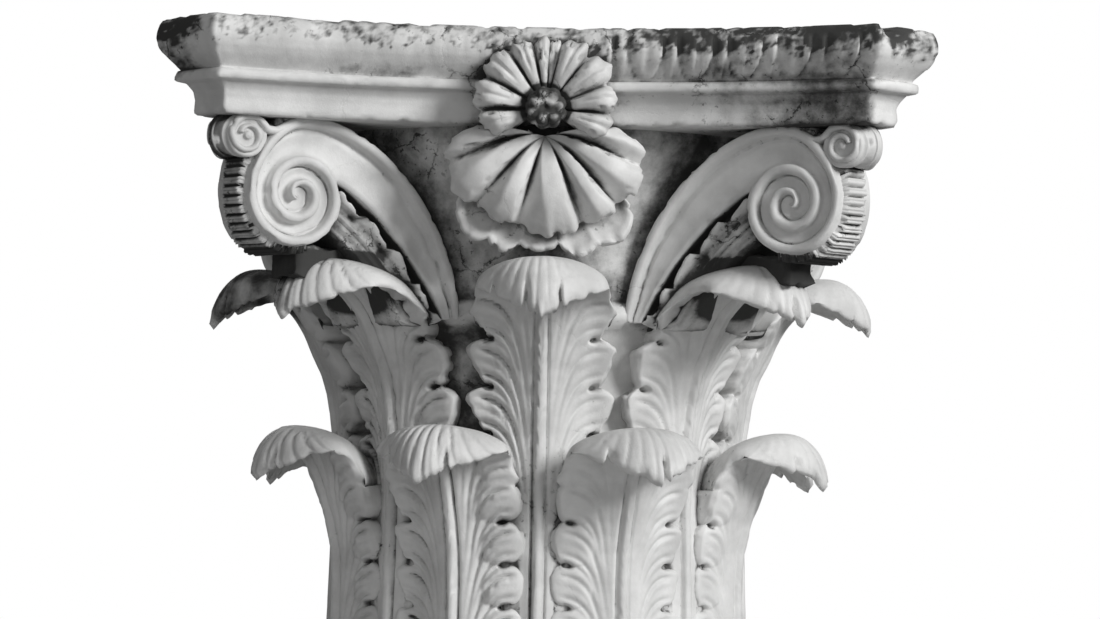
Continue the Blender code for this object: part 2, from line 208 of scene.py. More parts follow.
class Surface:
    """A finished mesh as arrays, for moving its points along their normals and for its grime and painted
    shade.
    """

    def __init__(self, bm):
        self.mesh = bpy.data.meshes.new("carved")
        bm.to_mesh(self.mesh)
        bm.free()
        edges = np.empty(2 * len(self.mesh.edges), int)
        self.mesh.edges.foreach_get("vertices", edges)
        self.edges = edges.reshape(-1, 2)
        self.points = read(self.mesh)
        count = len(self.points)
        self.degree = np.maximum(np.bincount(self.edges.ravel(), minlength=count), 1)

    def move(self, offset):
        """Moves the points by an offset along their normals, in modules."""
        self.points = self.points + read(self.mesh, "normal") * offset[:, None]
        self.mesh.vertices.foreach_set("co", self.points.ravel())
        self.mesh.update()

    def average(self, values, times):
        """Each value, evened out with its neighbours' as many times."""
        for _ in range(times):
            a, b = self.edges.T
            count = len(values)
            total = np.bincount(a, values[b], count) + np.bincount(b, values[a], count)
            values = 0.5 * values + 0.5 * total / self.degree
        return values

    def hollow(self, times):
        """How far the stone round each point stands above it: positive in grooves, negative on edges."""
        mean = np.stack([self.average(axis, times) for axis in self.points.T], axis=-1)
        return np.einsum("ij,ij->i", mean - self.points, read(self.mesh, "normal"))


def within_block(points):
    """The points, none of them outside the block that the capital was carved from."""
    low, high = np.array(CAD_BOX) / MODULE
    return np.clip(points, low, high)


def weathered(bm, wear, seed):
    """The surface after centuries outdoors, softly uneven and chipped along its edges.

    wear is the scale of both, and seed picks the places.
    """
    surface = Surface(bm)
    points = surface.points
    sharp = smooth(0.02, 0.14, -surface.hollow(4))
    chips = smooth(0.05, 0.45, ruffle(points, 1.1, seed)) * sharp
    uneven = 0.05 * ruffle(points, 2.4, seed + 1) + 0.025 * ruffle(points, 0.7, seed + 2)
    surface.move(wear * (uneven - 0.5 * chips))
    surface.points = within_block(surface.points)
    return surface


# ---- Leaves ----

ROW_RISE = 3.5  # how far a row of the mesh climbs from the midrib to the leaf's edge
VEIN_BEND = 0.15  # share of the half width in which a vein turns from upright to level
VEIN_END = 0.22  # where the main groove of a lobe ends, between its upper and its lower notch
LOBE_TIP = 0.3  # where the tip of a lobe stands between its two notches
MIDRIB = 0.4  # half width of the midrib
THUMB = 0.1  # how much deeper the notches between thumb-like lobes are
KEEL = 1.5  # how far the leaf's middle stands out before its edges
HOOD_THICKNESS = 1.4
ROOT = 3.4  # how far a leaf's back lies behind its face, inside the bell
BACK_RADIUS = 16.6  # and how far from the axis it may be
LIP = 0.6  # radius of the rounded edge of a hood
RIB_PITCH = 0.19  # share of a hood's half width from rib to rib along its edge
LEAF_COLUMNS = 92  # columns of the mesh across a leaf's face
WALL_COLUMNS = 4  # and on each of its walls
LOBE_ROWS = 26
HOOD_ROWS = 36


@dataclass
class Leaf:
    """An acanthus leaf: a lobed stem that hugs the bell, then a hood that rolls out and hangs to a tip.

    Places are (radius, height) on its middle line. A share runs across it, from -1 to 1.
    """

    foot: tuple
    foot_width: float
    neck: tuple
    crown: tuple
    tip: tuple
    half_width: float
    hood_width: float
    lobe_pitch: float
    first_lobe: float  # share of the topmost lobe that lies above the neck
    lobes: int
    notch: float  # share of the half width that a notch between two lobes takes away
    profile: tuple
    sweep: float  # how much lower a vein starts at the midrib than it ends
    ribs: float  # how deep the ribs of the hood are

    def spread(self, share, vein, worn, bold):
        """Distance from the midrib of a point of the stem's face, its lobe, and how lobed the edge is."""
        out = np.minimum(np.abs(share), 1)
        lobe = (self.neck[1] - vein) / self.lobe_pitch + self.first_lobe
        lobed = smooth(self.lobes + 0.02, self.lobes - 0.1, lobe)
        lowest = self.neck[1] - (self.lobes - self.first_lobe) * self.lobe_pitch
        plain = blend(self.foot_width, self.half_width * 0.8, smooth(self.foot[1], lowest, vein))
        inset = lobed * self.outline(lobe % 1, bold) * (1 - 0.4 * worn)
        across = blend(plain, self.half_width, lobed) * (out - inset * smooth(0.45, 1, out))
        return across, lobe, lobed

    def stem(self, share, vein, worn, bold):
        """Points of the stem's face; shares beyond 1 lie on the wall behind the edge.

        Rows of the mesh bow up a little towards the edge, where vein is their height. A lobe's
        number has its upper notch at a whole number and its lower notch at the next. The walls
        reach into the bell and meet behind the leaf.
        """
        out = np.minimum(np.abs(share), 1)
        wall = np.abs(share) - out
        rise = ROW_RISE * (1 - np.exp(-(vein - self.foot[1]) / ROW_RISE))
        height = vein - rise * (1 - dome(1 - out))
        across, lobe, lobed = self.spread(share, vein, worn, bold)
        bare = np.interp(height, *np.array(self.profile).T[::-1])
        carved = self.relief(across, height, lobe, lobed, worn, bold) - 0.45 * smooth(0.95, 1.0, out)
        back = np.minimum(bare - ROOT, BACK_RADIUS)
        radius = blend(bare + carved * (1 - smooth(0, 0.3, wall)), back, np.minimum(2 * wall, 1))
        narrowing = (1 - 0.25 * smooth(0.1, 0.5, wall)) * (1 - limited(2 * wall - 1))
        angle = np.sign(share) * across * narrowing / bare
        return stacked(radius * np.sin(angle), -radius * np.cos(angle), height)

    def outline(self, phase, bold):
        """Share of the half width cut away at each place of a lobe.

        A lobe has a round shoulder, a tip and a long taper. A bold one is round like a thumb.
        """
        shoulder = limited(1 - phase / LOBE_TIP) ** 3
        taper = limited((phase - LOBE_TIP) / (1 - LOBE_TIP)) ** 1.1
        teeth = 0.07 * np.sin(2.5 * math.pi * taper) ** 2
        thumb = 1 - dome(2 * phase - 1)
        pointed = self.notch * (shoulder + taper + teeth * (1 - taper))
        return blend(pointed, (self.notch + THUMB) * thumb, bold)

    def relief(self, across, height, lobe, flow, worn, bold):
        """How far the carving stands out of the leaf's plain face, in modules."""
        out = across / self.half_width
        phase = lobe % 1
        sweep = self.sweep * np.exp(-out / VEIN_BEND)
        slope = np.hypot(1, sweep / (VEIN_BEND * self.half_width))
        vein = height + sweep - self.neck[1] - (self.first_lobe - VEIN_END) * self.lobe_pitch
        grooves = 0
        for parts, depth in ((1, 0.22), (2, 0.28), (4, 0.2)):
            gap = self.lobe_pitch / parts
            apart = gap / slope
            away = nearest(gap, vein) * apart
            spread = np.minimum(0.21, 0.26 * apart)
            grooves -= depth * mound(0, spread, away) * smooth(0.32, 0.75, apart)
        grooves *= smooth(0.9, 0.7, out) * smooth(0.05, 0.14, out)
        seam = np.minimum(phase, 1 - phase)
        hole_out = (out - 1 + self.notch + THUMB * bold + 0.04) * self.half_width
        hole = np.hypot(0.55 * hole_out, nearest(1, phase) * self.lobe_pitch)
        eye = -1.3 * smooth(0.4, 0.12, hole)
        keel = KEEL * limited(1 - out) ** 1.4
        curl = 0.5 * smooth(0.6, 0.95, out) * smooth(0, 0.2, seam) * (1 - bold)
        from_thumb = np.hypot((1 - out) * self.half_width / 2.1 - 1, 2 * phase - 1)
        cushion = 0.8 * limited(1 - from_thumb**2) ** 0.6
        carving = (1 - 0.8 * worn) * grooves + (1 - 0.6 * worn) * eye + curl + bold * cushion
        midrib = 0.32 * smooth(MIDRIB + 0.1, MIDRIB - 0.1, across)
        midrib = midrib - 0.5 * mound(MIDRIB + 0.2, 0.13, across)
        return keel + flow * carving + (1 - 0.5 * worn) * midrib

    def hood(self, share, along, worn, bold, broken, slits, seed):
        """Points of a hood's top and of its underside.

        along is 0 at the neck, 1 at the crown and 2 at the edge. The ribs fan out from a root short
        of the crown: way is how far along its rib a point is, and place where that rib meets the edge.
        """
        out = np.abs(share)
        crisp = self.ribs * (1 - 0.6 * worn) * (1 - 0.6 * smooth(0.75, 1, out))
        way = np.clip((along - 0.9) / 1.1, 0.04, 1)
        place = share / way**0.42

        def ribbed(place, way):
            number = np.round(place / RIB_PITCH + 0.5)
            chance = (np.sin(number * 12.9898 + seed * 78.233) * 43758.5453) % 1
            from_groove = nearest(RIB_PITCH, place + RIB_PITCH / 2)
            groove = mound(0, 0.11, from_groove) * smooth(0.05, 0.4, way) * (0.4 + 0.6 * chance)
            fine = mound(0, 0.1, nearest(RIB_PITCH, place)) * smooth(0.3, 0.8, way)
            fine *= (chance * 7.3) % 1
            swell = np.sqrt(np.abs(2 * from_groove)) * smooth(0.05, 0.4, way)
            return 0.14 * swell - 0.08 - 0.28 * groove - 0.12 * fine

        def slit(place):
            return sum((mound(at, 0.03, place) for at in slits), np.zeros_like(place))

        x = share * self.hood_width
        flat = np.zeros_like(x)
        fall = 3.0 * (1 - np.sqrt(1 - 0.98 * out**2))
        crown = stacked(x, 2.4 * out**2 - self.crown[0], self.crown[1] - fall)
        low = self.tip[1] + 2.9 * out**1.2 - 0.35 * mound(0, 0.14, out)
        edge = stacked(x, 6.0 * out**1.5 - self.tip[0], low)
        nick = 0.9 * slit(share) - 0.5 * crisp * ribbed(share, 1)
        edge += (nick + broken)[:, None] * np.array((0, 0.35, 1.0))
        under_edge = edge + stacked(flat, 1.0 - 0.45 * out, flat + 0.15)
        low_crown = crown - stacked(flat, flat, HOOD_THICKNESS * (1 - 0.4 * out))
        face = self.stem(share, np.full_like(share, self.neck[1]), worn, bold)
        root = face - stacked(flat, flat, 2 * (1 - 0.6 * out))
        back = min(self.neck[0] - ROOT, BACK_RADIUS) / np.hypot(face[:, 0], face[:, 1])
        root[:, :2] *= blend(back, 1, out**4)[:, None]
        first = along < 1
        angle = math.pi / 2 * np.where(first, along, along - 1)
        sine, cosine = np.sin(angle), limited(np.cos(angle))
        forth = np.where(first, 0.45 * (1 - cosine) + 0.55 * along, sine)[:, None]
        up = np.where(first, sine, 1 - cosine)
        shoulder = 1 + 0.07 * mound(0.2, 0.16, along) * smooth(0, 0.12, along) * smooth(0.5, 1, out)

        def arc(start, middle, end):
            a, b = np.where(first[:, None], start, middle), np.where(first[:, None], middle, end)
            points = blend(a, b, forth)
            points[:, 2] = blend(a[:, 2], b[:, 2], up)
            points[:, 0] *= shoulder
            return points

        top, under = arc(root, crown, edge), arc(face, low_crown, under_edge)
        normal = stacked(flat, np.where(first, cosine, -sine), np.where(first, sine, cosine))
        cuts = 0.7 * slit(place) * smooth(1.7, 1.8, along)
        top += normal * (ribbed(place, way) * crisp * smooth(0.5, 0.8, along) - cuts)[:, None]
        across, lobe, _ = self.spread(share, np.full_like(share, self.neck[1]), worn, bold)
        here = self.relief(across, under[:, 2], lobe, 1, worn, bold)
        already = self.relief(across, face[:, 2], lobe, 1, worn, bold) * (1 - forth[:, 0])
        under -= normal * ((here - already) * smooth(1, 0.5, along))[:, None]
        reach = np.minimum((1 - out) * self.hood_width, (2 - along) * self.hood_width)
        round_off = dome(1 - np.minimum(1, reach / LIP))[:, None]
        meeting = blend(under, top, 0.5 * smooth(0, 0.5, along)[:, None])
        return blend(meeting, top, round_off), blend(meeting, under, round_off)


LOWER_LEAF = Leaf(
    foot=(20.2, 0.0), foot_width=5.0, neck=(22.0, 15.2), crown=(25.6, 20.9), tip=(30.4, 15.4),
    half_width=6.9, hood_width=6.8, lobe_pitch=4.05, first_lobe=0.17, lobes=4, notch=0.18,
    profile=((20.0, 0.0), (19.9, 6.0), (20.1, 9.0), (20.8, 12.0), (22.0, 15.2)), sweep=32, ribs=1.0,
)
UPPER_PROFILE = (
    (19.2, 0.0), (18.8, 13.0), (18.9, 20.0), (19.5, 24.0), (20.2, 26.3), (21.4, 28.5), (22.3, 30.0),
    (23.0, 31.0),
)
UPPER_LEAF = Leaf(
    foot=(19.2, 0.0), foot_width=3.0, neck=(23.0, 31.0), crown=(28.2, 36.6), tip=(33.3, 30.7),
    half_width=7.3, hood_width=6.3, lobe_pitch=4.5, first_lobe=0.6, lobes=4, notch=0.27,
    profile=UPPER_PROFILE, sweep=28, ribs=0.55,
)
# The upper leaves under the volutes reach further out.
CORNER_LEAF = replace(UPPER_LEAF, crown=(29.6, 36.6), tip=(35.0, 30.7), hood_width=6.5, ribs=1.0)


def leaf_mesh(leaf, azimuth, wear, bold, ragged, slits, seed):
    """One closed leaf.

    wear is how worn its left and right halves are, from 0 to 1, and bold how thumb-like their
    lobes are. ragged is how much of the hood's edge is broken off, in modules, and slits are the
    places of the drilled slits in that edge, as shares of the hood's half width.
    """
    last_lobe = (leaf.neck[1] - leaf.foot[1]) / leaf.lobe_pitch + leaf.first_lobe
    carved_lobes = min(last_lobe, leaf.lobes)
    steps = round(LOBE_ROWS * (carved_lobes - leaf.first_lobe)) + 1
    lobe_steps = np.linspace(carved_lobes, leaf.first_lobe, steps)
    denser = lobe_steps - 0.08 * np.sin(math.tau * lobe_steps)  # more rows along the notches
    denser += np.linspace(*(lobe_steps - denser)[[0, -1]], steps)
    veins = leaf.neck[1] - (denser - leaf.first_lobe) * leaf.lobe_pitch
    if last_lobe > leaf.lobes:
        plain = np.linspace(leaf.foot[1], veins[0], round(veins[0]), endpoint=False)
        veins = np.concatenate([plain, veins])
    stem_rows = len(veins) - 1
    rows = np.arange(stem_rows + 1) / stem_rows
    columns = LEAF_COLUMNS + 2 * WALL_COLUMNS

    def halves(pair, share):
        return blend(pair[0], pair[1], smooth(-0.1, 0.1, share))

    def stem(row, column):
        share = (2 * column - 1) * columns / LEAF_COLUMNS
        beyond = np.abs(share) - 1
        wall = np.sign(share) * (1 + beyond * LEAF_COLUMNS / (2 * WALL_COLUMNS))
        share = np.where(beyond > 1e-9, wall, share)
        return leaf.stem(share, np.interp(row, rows, veins), halves(wear, share), halves(bold, share))

    def hood(side):
        def place(row, column):
            share = 2 * column - 1
            lump = ruffle(stacked(share * 5, row * 0 + seed, row * 0), 0.8, seed)
            broken = ragged * smooth(-0.1, 0.6, lump) * smooth(0.5, 1, row)
            states = halves(wear, share), halves(bold, share)
            return leaf.hood(share, 2 * row**1.25, *states, broken, slits, seed)[side]

        return woven(HOOD_ROWS, LEAF_COLUMNS, place)

    return swung(closed(joined([woven(stem_rows, columns, stem), hood(1), hood(0)])), azimuth)


# ---- Bell and abacus ----

BELL_ROWS, BELL_COLUMNS = 76, 132
# Radius and height, from the bed up
BELL_PROFILE = (
    (20.0, 0.0), (20.0, 1.2), (17.4, 1.8), (17.0, 12.0), (17.3, 22.0), (18.4, 28.0), (20.0, 30.4),
    (21.35, 30.6), (21.5, 31.0), (21.5, 31.9), (21.3, 32.25), (20.5, 32.7), (21.3, 39.0), (23.4, 45.0),
    (24.8, 47.6), (24.8, BELL_HEIGHT + BURIED),
)
HORN_INNER = 29.6  # from the middle of a side to where its cut corner begins
HORN_OUTER = 32.6  # from the axis to that place, across the side
SIDE_CENTRE = 25.5  # from the axis to the middle of the hollow side
CHAMFER = 0.06  # share of a side's columns that cross its cut corner
EGG_PITCH = 4.4
OVOLO_FOOT, OVOLO_RISE = 4.2, 4.0
ABACUS_ROWS, SIDE_COLUMNS = 54, 240
BED = 0.08  # share of the rows that cover each bed
# Height above the underside, and projection
ABACUS_PROFILE = (
    (0.0, 0.0), (0.25, 0.12), (0.7, 0.1), (1.4, 0.05), (2.2, 0.2), (2.9, 0.75), (3.05, 1.5),
    (3.2, 1.72), (3.85, 1.75), (3.98, 1.6), (4.1, 1.2), (4.7, 1.8), (5.4, 2.5), (6.1, 2.98),
    (6.9, 3.25), (7.7, 3.28), (8.3, 3.15), (8.75, 2.95), (9.0, 2.6),
)


def bell_mesh():
    bm = bmesh.new()
    heights = np.linspace(0, BELL_PROFILE[-1][1], BELL_ROWS)
    radii = np.interp(heights, *np.array(BELL_PROFILE).T[::-1])
    line = [bm.verts.new((radius, 0, height)) for radius, height in zip(radii, heights)]
    edges = [bm.edges.new(pair) for pair in zip(line, line[1:])]
    turn = {"cent": (0, 0, 0), "axis": (0, 0, 1), "angle": math.tau, "steps": BELL_COLUMNS}
    bmesh.ops.spin(bm, geom=line + edges, use_merge=True, **turn)
    return closed(bm)


def abacus_point(projection, walk):
    """A point of the abacus's outline; walk runs from 0 to 4 round its sides, corners included."""
    inner = HORN_INNER + 0.27 * projection
    outer = HORN_OUTER + (1 + math.sin(math.radians(18)) * 0.5) * projection
    centre = SIDE_CENTRE + projection
    sagitta = outer - centre
    radius = (inner**2 + sagitta**2) / (2 * sagitta)
    half_angle = np.arcsin(inner / radius)
    side = np.floor(walk + 1e-9)
    share = walk - side
    angle = half_angle * (2 * np.minimum(share / (1 - CHAMFER), 1) - 1)
    x = radius * np.sin(angle)
    y = -(centre + radius * (1 - np.cos(angle)))
    cut = limited((share - 1 + CHAMFER) / CHAMFER)
    x = blend(x, outer, cut)
    y = blend(y, -inner, cut)
    quarter = side * math.pi / 2
    return x * np.cos(quarter) - y * np.sin(quarter), x * np.sin(quarter) + y * np.cos(quarter)


def eggs(across, rise):
    """The carved eggs of the ovolo, each split by a line, with a dart between each two.

    rise runs from 0 at the ovolo's foot to 1 at its top.
    """
    egg = np.abs(nearest(EGG_PITCH, across))
    width = 0.31 * dome(1 - np.minimum(rise * 1.3, 1))
    inside = smooth(width + 0.03, width - 0.03, egg)
    body = 0.3 * inside * dome(egg / 0.33)
    split = 0.26 * mound(0, 0.04, egg) * smooth(0.1, 0.3, rise)
    outline = 0.26 * mound(width + 0.04, 0.04, egg)
    lean = 0.5 - 0.07 * rise
    dart = 0.16 * mound(lean, 0.05, egg) - 0.16 * mound(lean - 0.08, 0.035, egg)
    return body - split - outline + dart


def abacus_mesh():
    profile = np.array(ABACUS_PROFILE)
    run = np.concatenate([[0], np.cumsum(np.hypot(*np.diff(profile, axis=0).T))])

    def place(row, column):
        length = limited((row - BED) / (1 - 2 * BED)) * run[-1]
        height = np.interp(length, run, profile[:, 0])
        projection = np.interp(length, run, profile[:, 1])
        walk = column * SIDES % SIDES
        x, y = abacus_point(projection, walk)
        across = 2 * (walk % 1 / (1 - CHAMFER) - 0.5) * HORN_INNER
        rise = limited((height - OVOLO_FOOT) / OVOLO_RISE)
        on_side = smooth(HORN_INNER, HORN_INNER - 1.5, np.abs(across))
        on_side *= smooth(0, 0.1, rise) * smooth(1, 0.9, rise)
        far = np.hypot(x, y)
        inward = np.maximum(1 - row / BED, 0) ** 2 + np.maximum(1 - (1 - row) / BED, 0) ** 2
        bx, by = x * (1 - inward), y * (1 - inward)
        lasting = ruffle(stacked(bx, by, height * 0), 7.0, 3) + 0.45 * smooth(-4, 4, bx) - 0.2
        kept = 0.12 + 0.88 * smooth(-0.2, 0.25, lasting)
        carved = eggs(across, rise) * on_side * kept
        lump = ruffle(stacked(bx, by, height), 5.0, 5) + 0.4 * ruffle(stacked(bx, by, height), 1.2, 6)
        broken_horn = smooth(24, 29, bx) * smooth(24, 29, -by)
        top = smooth(6.4, 9.0, height) * (1 - inward)
        loss = (0.15 + (0.5 + 1.2 * broken_horn) * smooth(0.0, 0.9, lump)) * top
        scale = 1 - inward + (carved - loss) / far * (1 - inward)
        worn_down = (0.25 + 0.5 * broken_horn) * smooth(0.1, 0.8, lump)
        height = height - worn_down * smooth(8.4, 9, height) * smooth(0.08, 0, inward)
        return stacked(x * scale, y * scale, BELL_HEIGHT + height)

    return closed(woven(ABACUS_ROWS, SIDES * SIDE_COLUMNS, place))


# ---- Volutes ----

VOLUTE_CENTRE = (22.65, 28.0)  # to the right, and to the front, of the axis
VOLUTE_HEIGHT = 41.9
VOLUTE_YAW = math.radians(29.0)  # between the volute's face and the capital's side
EYE_RADIUS = 0.6
SCROLL_RADIUS = 5.95
SCROLL_PITCH = 2.2  # how much closer to the eye the band is after a full turn
ARCH_LIFT, ARCH_SPREAD = 1.5, 38.0  # how much further out it starts, and over how many degrees
SCROLL_START = -10.7  # degrees from the top of the scroll, towards the corner
SCROLL_STEP = 30.0
TURN = 12  # steps in a full turn
CROTCH = 10  # the step where the band's lower edge meets the scroll
LAST_STEP = 29
FINE = 5  # rows of the mesh to a step
CHANNEL_DEPTH = 0.9
BAND_FOOT_OUTER = (17.1, -11.0)
BAND_FOOT_INNER = (15.6, -11.0)
SCALLOP = 9.0  # degrees of the scroll to one scallop of its bolster
SLEEVE = 6.8  # steps round the scroll that the bolster's sleeve covers
CALYX_LOBES = 5.6  # of the slender leaf under the band
BRACKET_REACH = (24.5, 34.4)  # from the axis, along the diagonal
BRACKET_HEIGHTS = (34.4, 37.3)
BRACKET_HALF_WIDTH = 1.7


def scroll_point(step):
    """The scroll's outer edge: distance towards the bell, and up, from the scroll's eye."""
    angle = SCROLL_START + SCROLL_STEP * step
    lift = ARCH_LIFT * mound(SCROLL_START, ARCH_SPREAD, angle)
    radius = np.maximum(EYE_RADIUS, SCROLL_RADIUS - SCROLL_PITCH * angle / 360 + lift)
    radius = np.where(step > LAST_STEP, 0, radius)
    return -radius * np.sin(np.radians(angle)), radius * np.cos(np.radians(angle))


def quarter_round(foot, head, power, share):
    """A rounded line that climbs from foot, upright, and arrives at head, level."""
    angle = math.pi / 2 * share
    along, up = limited(np.cos(angle)) ** (2 / power), np.sin(angle) ** (2 / power)
    return head[0] + (foot[0] - head[0]) * along, foot[1] + (head[1] - foot[1]) * up


def volute_space(x, y, depth):
    """The place in space of a point of the front right volute's face, at this depth behind it."""
    cosine, sine = math.cos(VOLUTE_YAW), math.sin(VOLUTE_YAW)
    right = VOLUTE_CENTRE[0] - x * cosine + depth * sine
    front = VOLUTE_CENTRE[1] - x * sine - depth * cosine
    return stacked(right, -front, VOLUTE_HEIGHT + y)


def twin(points):
    """The points' mirror images in the capital's diagonal."""
    return stacked(-points[..., 1], -points[..., 0], points[..., 2])


def on_diagonal(points):
    """The points halfway to their mirror images in the capital's diagonal."""
    middle = (points[..., 0] - points[..., 1]) / 2
    return stacked(middle, -middle, points[..., 2])


def band_edges(step):
    """Outer and inner edge of the band at each step from its foot: the free band, arch and turns."""
    free = quarter_round(BAND_FOOT_OUTER, scroll_point(0), 1.75, np.minimum(step / CROTCH, 1) * 0.72)
    arch_share = 0.72 + 0.28 * limited((step - CROTCH) / (TURN - CROTCH))
    arch = quarter_round(BAND_FOOT_OUTER, scroll_point(0), 1.75, arch_share)
    scroll = scroll_point(step - TURN)
    under = quarter_round(BAND_FOOT_INNER, scroll_point(CROTCH), 1.3, np.minimum(step / CROTCH, 1))
    turning = scroll_point(step)
    outer = [np.where(step < CROTCH, f, np.where(step < TURN, a, s)) for f, a, s in zip(free, arch, scroll)]
    inner = [np.where(step < CROTCH, u, t) for u, t in zip(under, turning)]
    return outer, inner


def band_depth(from_outer, width):
    """Depth of the band's face at a distance from its outer edge: rounded rim, crease, hollow channel."""
    rim = np.minimum(1.0, 0.45 * width)
    across = from_outer / rim
    crest = 0.35 * (1 - dome(2 * across - 1))
    share = limited((from_outer - rim) / np.maximum(width - rim, 1e-3))
    deep = CHANNEL_DEPTH * smooth(0, 2.0, width)
    channel = deep * (0.75 + 0.25 * smooth(0, 0.8, share))
    channel = channel + 0.2 * np.sin(math.pi * share) * smooth(1, 3, width)
    crease = 0.6 * mound(0.05, 0.07, share) * smooth(0, 2.0, width)
    return np.where(across < 1, crest, blend(0.35, channel + crease, smooth(0, 0.06, share)))


def bolster_points(step, across, lift):
    """Points of the bolster, lifted off it; across is 0 at this face and 1 at its twin's."""
    (ox, oy), _ = band_edges(step)
    near = volute_space(ox, oy, CHANNEL_DEPTH)
    length = np.maximum(np.hypot(ox, oy), 1e-6)
    way = volute_space(ox / length, oy / length, 0) - volute_space(0 * ox, 0 * oy, 0)
    share = across[..., None]
    return blend(near, twin(near), share) + blend(way, twin(way), share) * lift[..., None]


def volute_mesh():
    """The two volutes of the front right corner, with the plain bolster between them."""
    last = TURN + LAST_STEP

    def face(row, column):
        step = row * last
        (ox, oy), (ix, iy) = band_edges(step)
        width = np.hypot(ix - ox, iy - oy)
        rim = np.minimum(1.0, 0.45 * width) / np.maximum(width, 1e-6)
        inner_share = np.maximum(2 * column - 1, 0) ** 1.5
        share = np.where(column < 0.5, column * 2 * rim, rim + inner_share * (1 - rim))
        depth = band_depth(share * width, width)
        depth = np.where((column == 0) | (column == 1), CHANNEL_DEPTH, depth)
        return volute_space(blend(ox, ix, share), blend(oy, iy, share), depth)

    def bolster(row, column):
        return bolster_points(row * (TURN + CROTCH), column / 2, column * 0)

    def calyx(row, column):
        _, (ix, iy) = band_edges(row * CROTCH)
        swell = np.minimum(1, 6 * row * (1 - row))
        phase = CALYX_LOBES * row**0.9 % 1
        lobe = phase**0.6 * smooth(1, 0.86, phase)
        # Share of the columns, distance below the band, and depth
        section = [
            (0, 0, CHANNEL_DEPTH), (0.16, 0.25, 3.0), (0.28, 0.75, 3.2), (0.34, 0.95, 1.5),
            (0.38, 1.15, 1.1), (0.46, 1.5, 1.9), (0.6, 2.2, 2.3), (0.8, 3.2, 2.4), (0.9, 3.9, 2.7),
            (1, 4.1, 4.5),
        ]
        below, deep = along_table(section, column)
        edge = mound(0.36, 0.07, column)
        below = below - 0.75 * (lobe - 0.2) * edge
        deep = deep - 0.5 * (lobe - 0.5) * edge
        seam = mound(0, 0.12, nearest(1, phase)) * mound(0.44, 0.08, column)
        ribs = 0.3 * np.sin(limited((column - 0.55) / 0.4) * math.pi * 3) ** 2
        deep = CHANNEL_DEPTH + (deep + 0.7 * seam - ribs - CHANNEL_DEPTH) * swell
        x, y = ix - 0.75 * below * swell, iy - 0.66 * below * swell
        points = volute_space(x, y, deep)
        return blend(points, on_diagonal(points), smooth(0.9, 1, column)[:, None])

    band = woven(last * FINE, 18, face)
    under = woven((TURN + CROTCH) * FINE, 4, bolster)
    half = joined([band, under, woven(CROTCH * FINE, 28, calyx)])
    return closed(mirrored(half))


def bolster_mesh():
    """The fluted sleeve round the bolster: small scallops, each split by a finer line."""
    outer = 0.8  # share of the mesh's columns that are on its outside

    def place(row, column):
        step = blend(TURN + 0.2, TURN + SLEEVE + 0.1, row)
        angle = SCROLL_STEP * (step - TURN)
        scallop = dome(2 * nearest(SCALLOP, angle))
        lines = mound(0, 0.15, nearest(SCALLOP / 2, angle))
        outside = column < outer
        share = column / outer
        back = blend(1.05, -0.05, (column - outer) / (1 - outer))
        across = np.where(outside, blend(-0.05, 1.05, share), back)
        ends = smooth(0, 0.04, share) * smooth(1, 0.96, share)
        ends = ends * smooth(0, 0.01, row) * smooth(1, 0.99, row)
        lift = (0.65 + 0.55 * scallop - 0.22 * lines) * ends - 0.5
        return bolster_points(step, across, np.where(outside, lift, -0.8))

    return closed(woven(240, 20, place))


def bracket_mesh():
    """The rough block left standing between the corner leaf and the underside of the volutes."""

    def place(row, column):
        around = math.tau * column
        size = limited(4 * row) * limited(4 * (1 - row))
        square = 1 / np.maximum(np.abs(np.cos(around)), np.abs(np.sin(around)))
        away = blend(*BRACKET_REACH, (1 + square * np.cos(around) * size) / 2)
        side = BRACKET_HALF_WIDTH * square * np.sin(around) * size
        height = blend(*BRACKET_HEIGHTS, limited(2 * row - 0.5))
        x, y = (away + side) * math.sqrt(0.5), (side - away) * math.sqrt(0.5)
        rough = ruffle(stacked(x, y, height), 1.3, 9)
        return stacked(x + 0.4 * rough, y, height + 0.6 * rough)

    return closed(woven(24, 48, place))


SMALL_SCROLL_CENTRE = (-5.4, 5.25)
SMALL_SCROLL_RADIUS = 2.1
TENDRIL_HALF_WIDTH = 0.46
CURL_START = 0.44  # share of the strip's length where it begins to curl


def small_scroll_mesh():
    """The little scroll that buds off the band above the volute, through to its twin."""

    def place(row, column):
        angle = math.tau * column
        # Share of the radius, depth, and share of the way to the twin's middle
        section = [
            (0, 0.95, 0.6, 1), (0.12, 0.98, 0.6, 0.85), (0.2, 0.97, 0.6, 0.74), (0.24, 0.9, 0.6, 0.7),
            (0.48, 0.9, 0.6, 0.36), (0.52, 0.97, 0.6, 0.3), (0.62, 0.98, 0.5, 0.03),
            (0.66, 0.9, 0.32, 0), (0.8, 0.45, 0.45, 0), (0.87, 0.22, 0.42, 0), (0.92, 0.16, 0.15, 0),
            (1, 0, 0.05, 0),
        ]
        share, depth, middle = along_table(section, row)
        ringed = smooth(0.24, 0.26, row) * smooth(0.48, 0.46, row)
        rings = -0.035 * ringed * np.cos(math.tau * 6 * (row - 0.24) / 0.24)
        radius = SMALL_SCROLL_RADIUS * (share + rings)
        x, y = SMALL_SCROLL_CENTRE
        points = volute_space(x + radius * np.cos(angle), y + radius * np.sin(angle), depth)
        points = blend(points, on_diagonal(points), middle[:, None])
        outward = 0.75 * smooth(0.0, 0.8, middle)[:, None] * np.array((1.0, -1.0, 0.0))
        return points + outward

    return closed(mirrored(woven(50, 40, place)))


